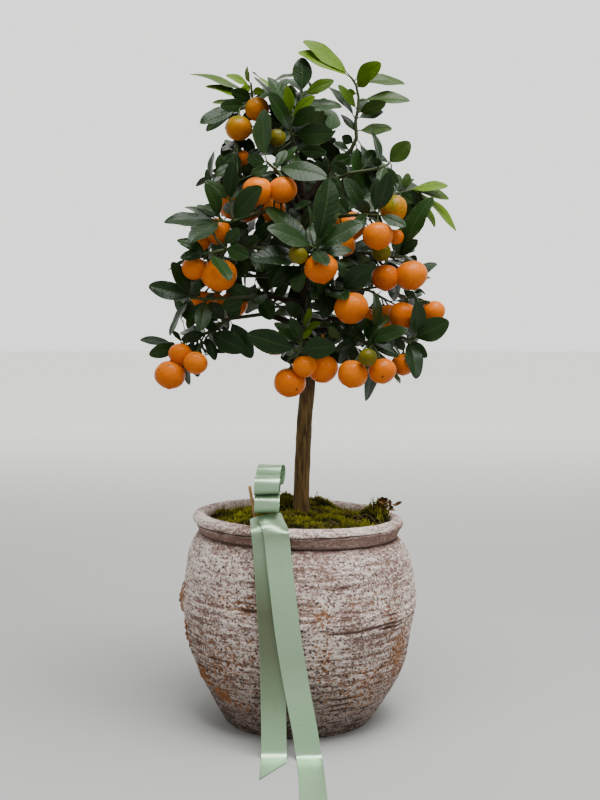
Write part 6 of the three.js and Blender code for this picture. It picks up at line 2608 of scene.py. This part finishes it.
    def build_roll(self, name: str, roll: Row, satin: Material) -> None:
        """Makes a roll of ribbon, open at its sides.

        Args:
            name: Its name.
            roll: Its place and size, as in rolls.
            satin: The satin.
        """
        forward, up, deep, high, shift, turn = roll
        angle, side = np.meshgrid(np.linspace(0, 2 * math.pi, 73)[:-1], np.linspace(-1, 1, 13), indexing="ij")
        squash = 1 + 0.05 * np.cos(2 * angle) * side
        y = deep * np.sign(np.cos(angle)) * np.abs(np.cos(angle)) ** 0.9 * squash
        z = high * np.sin(angle) + 0.5 * np.sin(angle * 3 + side)
        x = side * RIBBON_WIDTH / 2 + 0.6 * np.sin(angle)
        sine, cosine = math.sin(turn), math.cos(turn)
        points = np.stack(
            [self.bow_place + shift + x * cosine - y * sine, forward + x * sine + y * cosine, up + z], axis=-1
        )
        self.add_ring(points, 0.12 + 0.45 * ramp(-np.sin(angle), 0.1, 1), satin, name)

    def build_tie(self, satin: Material) -> None:
        """Makes the band of ribbon that ties the rolls to the pick.

        Args:
            satin: The satin.
        """
        angle, side = np.meshgrid(np.linspace(0, 2 * math.pi, 49)[:-1], np.linspace(-1, 1, 9), indexing="ij")
        aside, forward, up, wide, deep = self.tie
        x = self.bow_place + aside + wide * np.cos(angle) * (1 + 0.1 * side * np.sin(angle * 3))
        y = forward + deep * np.sin(angle)
        self.add_ring(np.stack([x, y, up + side * RIBBON_WIDTH / 2 * 0.95], axis=-1), 0.0, satin, "ribbon_tie")

    def build_pick(self, wood: Material) -> None:
        """Makes the pick that the bow is tied to.

        Args:
            wood: Its wood.
        """
        top, end = VIEW.place(*self.pick_top), vec(*self.pick_end)
        shape = Shape()
        line = top + (end - top) * np.linspace(0, 1, 24)[:, None]
        shape.tube(line, np.linspace(*self.pick_radii, 24), 14)
        add_piece(shape, "pick_stick", wood, Slot.PICK, "pick")


@dataclass
class Studio:
    """The camera, the floor, the lamps and the air around."""

    back_glow: float = 1.62
    front_glow: float = 0.52
    air: Paint = (1, 1, 0.98, 1)
    aim: Row = (0, 0, 0.4)
    floor_rings: Row = (40, 16, 8, 5, 4, 3.2, 2.6, 2.1, 1.7, 1.3, 1, 0.7, 0.4, 0.01)
    floor_sides: int = 48

    def build(self) -> None:
        """Makes them all."""
        self.add_camera()
        self.add_floor()
        self.add_air()
        self.add_lamp("lamp_above", (0.3, -0.45, 2.1), (1.5, 1.2), 74)
        self.add_lamp("lamp_right", (1.3, -1.2, 1.5), (0.5, 0.5), 7)

    @staticmethod
    def add_camera() -> None:
        """Sets up the camera of the front view."""
        data = bpy.data.cameras.new("front_view")
        data.sensor_width = 36
        data.lens = VIEW.focal / (2 * VIEW.row) * data.sensor_width
        camera = bpy.data.objects.new("front_view", data)
        camera.location = VIEW.eye * MM
        camera.rotation_euler = (math.pi / 2 - VIEW.pitch, 0, 0)
        bpy.context.scene.collection.objects.link(camera)
        bpy.context.scene.camera = camera

    def add_floor(self) -> None:
        """Lays the round floor, which glows behind and a little at its sides."""
        turn, radius = np.meshgrid(np.arange(self.floor_sides) * 2 * math.pi / self.floor_sides, self.floor_rings)
        place = np.stack([radius * np.cos(turn), radius * np.sin(turn), radius * 0], axis=-1) / MM
        behind, aside = ramp(place[..., 1] * MM, 0.2, 4.0), ramp(radius, 1.2, 5.0) * 0.3
        shape = Shape("far")
        shape.grid(place, around=True, far=np.maximum(behind, aside))
        mesh = shape.mesh("floor")
        mesh.materials.append(FloorFinish().material())
        floor = bpy.data.objects.new("floor", mesh)
        bpy.context.scene.collection.objects.link(floor)
        floor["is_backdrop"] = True

    def add_air(self) -> None:
        """Fills the air with even light, less of it from the front."""
        world = bpy.data.worlds.new("air")
        world.use_nodes = True
        nodes, links = world.node_tree.nodes, world.node_tree.links
        ways, split, share = (nodes.new(f"ShaderNode{kind}") for kind in ("TexCoord", "SeparateXYZ", "MapRange"))
        links.new(ways.outputs["Generated"], split.inputs[0])
        links.new(split.outputs["Y"], share.inputs["Value"])
        for place, value in enumerate((0.25, 0.9, self.front_glow, self.back_glow), 1):
            share.inputs[place].default_value = value
        links.new(share.outputs[0], nodes["Background"].inputs["Strength"])
        nodes["Background"].inputs["Color"].default_value = self.air
        bpy.context.scene.world = world

    def add_lamp(self, name: str, place: Row, size: tuple[float, float], power: float) -> None:
        """Adds a soft lamp that shines on the crown.

        Args:
            name: Its name.
            place: Its place in metres.
            size: Its width and height in metres.
            power: Its power in watts.
        """
        data = bpy.data.lights.new(name, "AREA")
        data.shape = "RECTANGLE"
        data.size, data.size_y = size
        data.energy = power
        lamp = bpy.data.objects.new(name, data)
        lamp.location = place
        lamp.rotation_euler = (Vector(self.aim) - lamp.location).to_track_quat("-Z", "Y").to_euler()
        bpy.context.scene.collection.objects.link(lamp)


def solid_tree(nodes: Mapping[str, bpy.types.Object]) -> BVHTree:
    """What added leaves stay clear of: stem, limbs and fruits, in millimetres.

    Args:
        nodes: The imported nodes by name.

    Returns:
        A tree of their faces.
    """
    corners: list[tuple[float, float, float]] = []
    faces: list[list[int]] = []
    for name, node in nodes.items():
        if name == "trunk" or name.startswith("fruit_"):
            start = len(corners)
            corners += [tuple(vertex.co / MM) for vertex in node.data.vertices]
            faces += [[start + k for k in face.vertices] for face in node.data.polygons]
    return BVHTree.FromPolygons(corners, faces)


def write_sizes() -> None:
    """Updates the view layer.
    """
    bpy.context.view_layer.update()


def main() -> None:
    """Builds the pieces in order."""
    logging.basicConfig(level=logging.INFO, format="%(message)s")
    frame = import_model()
    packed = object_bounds()
    nodes = frame["nodes"]
    limbs = [front_limb(spray) for spray in SPRAYS] + [rear_limb(plan) for plan in REAR_LIMBS]
    Pot().build(TerracottaFinish().material())
    soil = nodes["soil"].data
    soil.materials.clear()
    soil.materials.append(PlainFinish(Slot.SOIL.value, paint("#2e241c"), 0.95).material())
    Moss().build(
        MossFinish().material(),
        DryFinish("straw", paint("#8f7a48"), paint("#5f4e2a")).material(),
        DryFinish("dry_leaf", paint("#7a5a34"), paint("#3f2c18")).material(),
    )
    Ribbon().build(SatinFinish().material(), PlainFinish(Slot.PICK.value, paint("#a07a45"), 0.7).material())
    Trunk(limbs).build(BarkFinish().material())
    # Each peel: name, colour on top, deeper colour of the painted shade towards the bottom, green by the stalk and
    # how green it is there
    peels = {
        Peel.RIPE: PeelFinish("ripe", paint("#dc7400"), paint("#b04a00"), paint("#6b6a08"), 0.0).material(),
        Peel.RIPENING: PeelFinish("ripening", paint("#c87800"), paint("#b06000"), paint("#5f6208"), 0.8).material(),
        Peel.OLIVE: PeelFinish("olive", paint("#6c5f06"), paint("#5a5206"), paint("#39450c"), 0.8).material(),
    }
    for limb in limbs:
        Fruits(limb).build(peels)
    low, high = (np.array(corner) / MM for corner in packed)
    foliage = Foliage(limbs, nodes, solid_tree(nodes), low, high)
    foliage.read_leaves()
    foliage.add_extras()
    foliage.add_cover()
    foliage.build(LeafFinish().material(), TwigFinish().material())
    Studio().build()
    write_sizes()


if __name__ == "__main__":
    main()
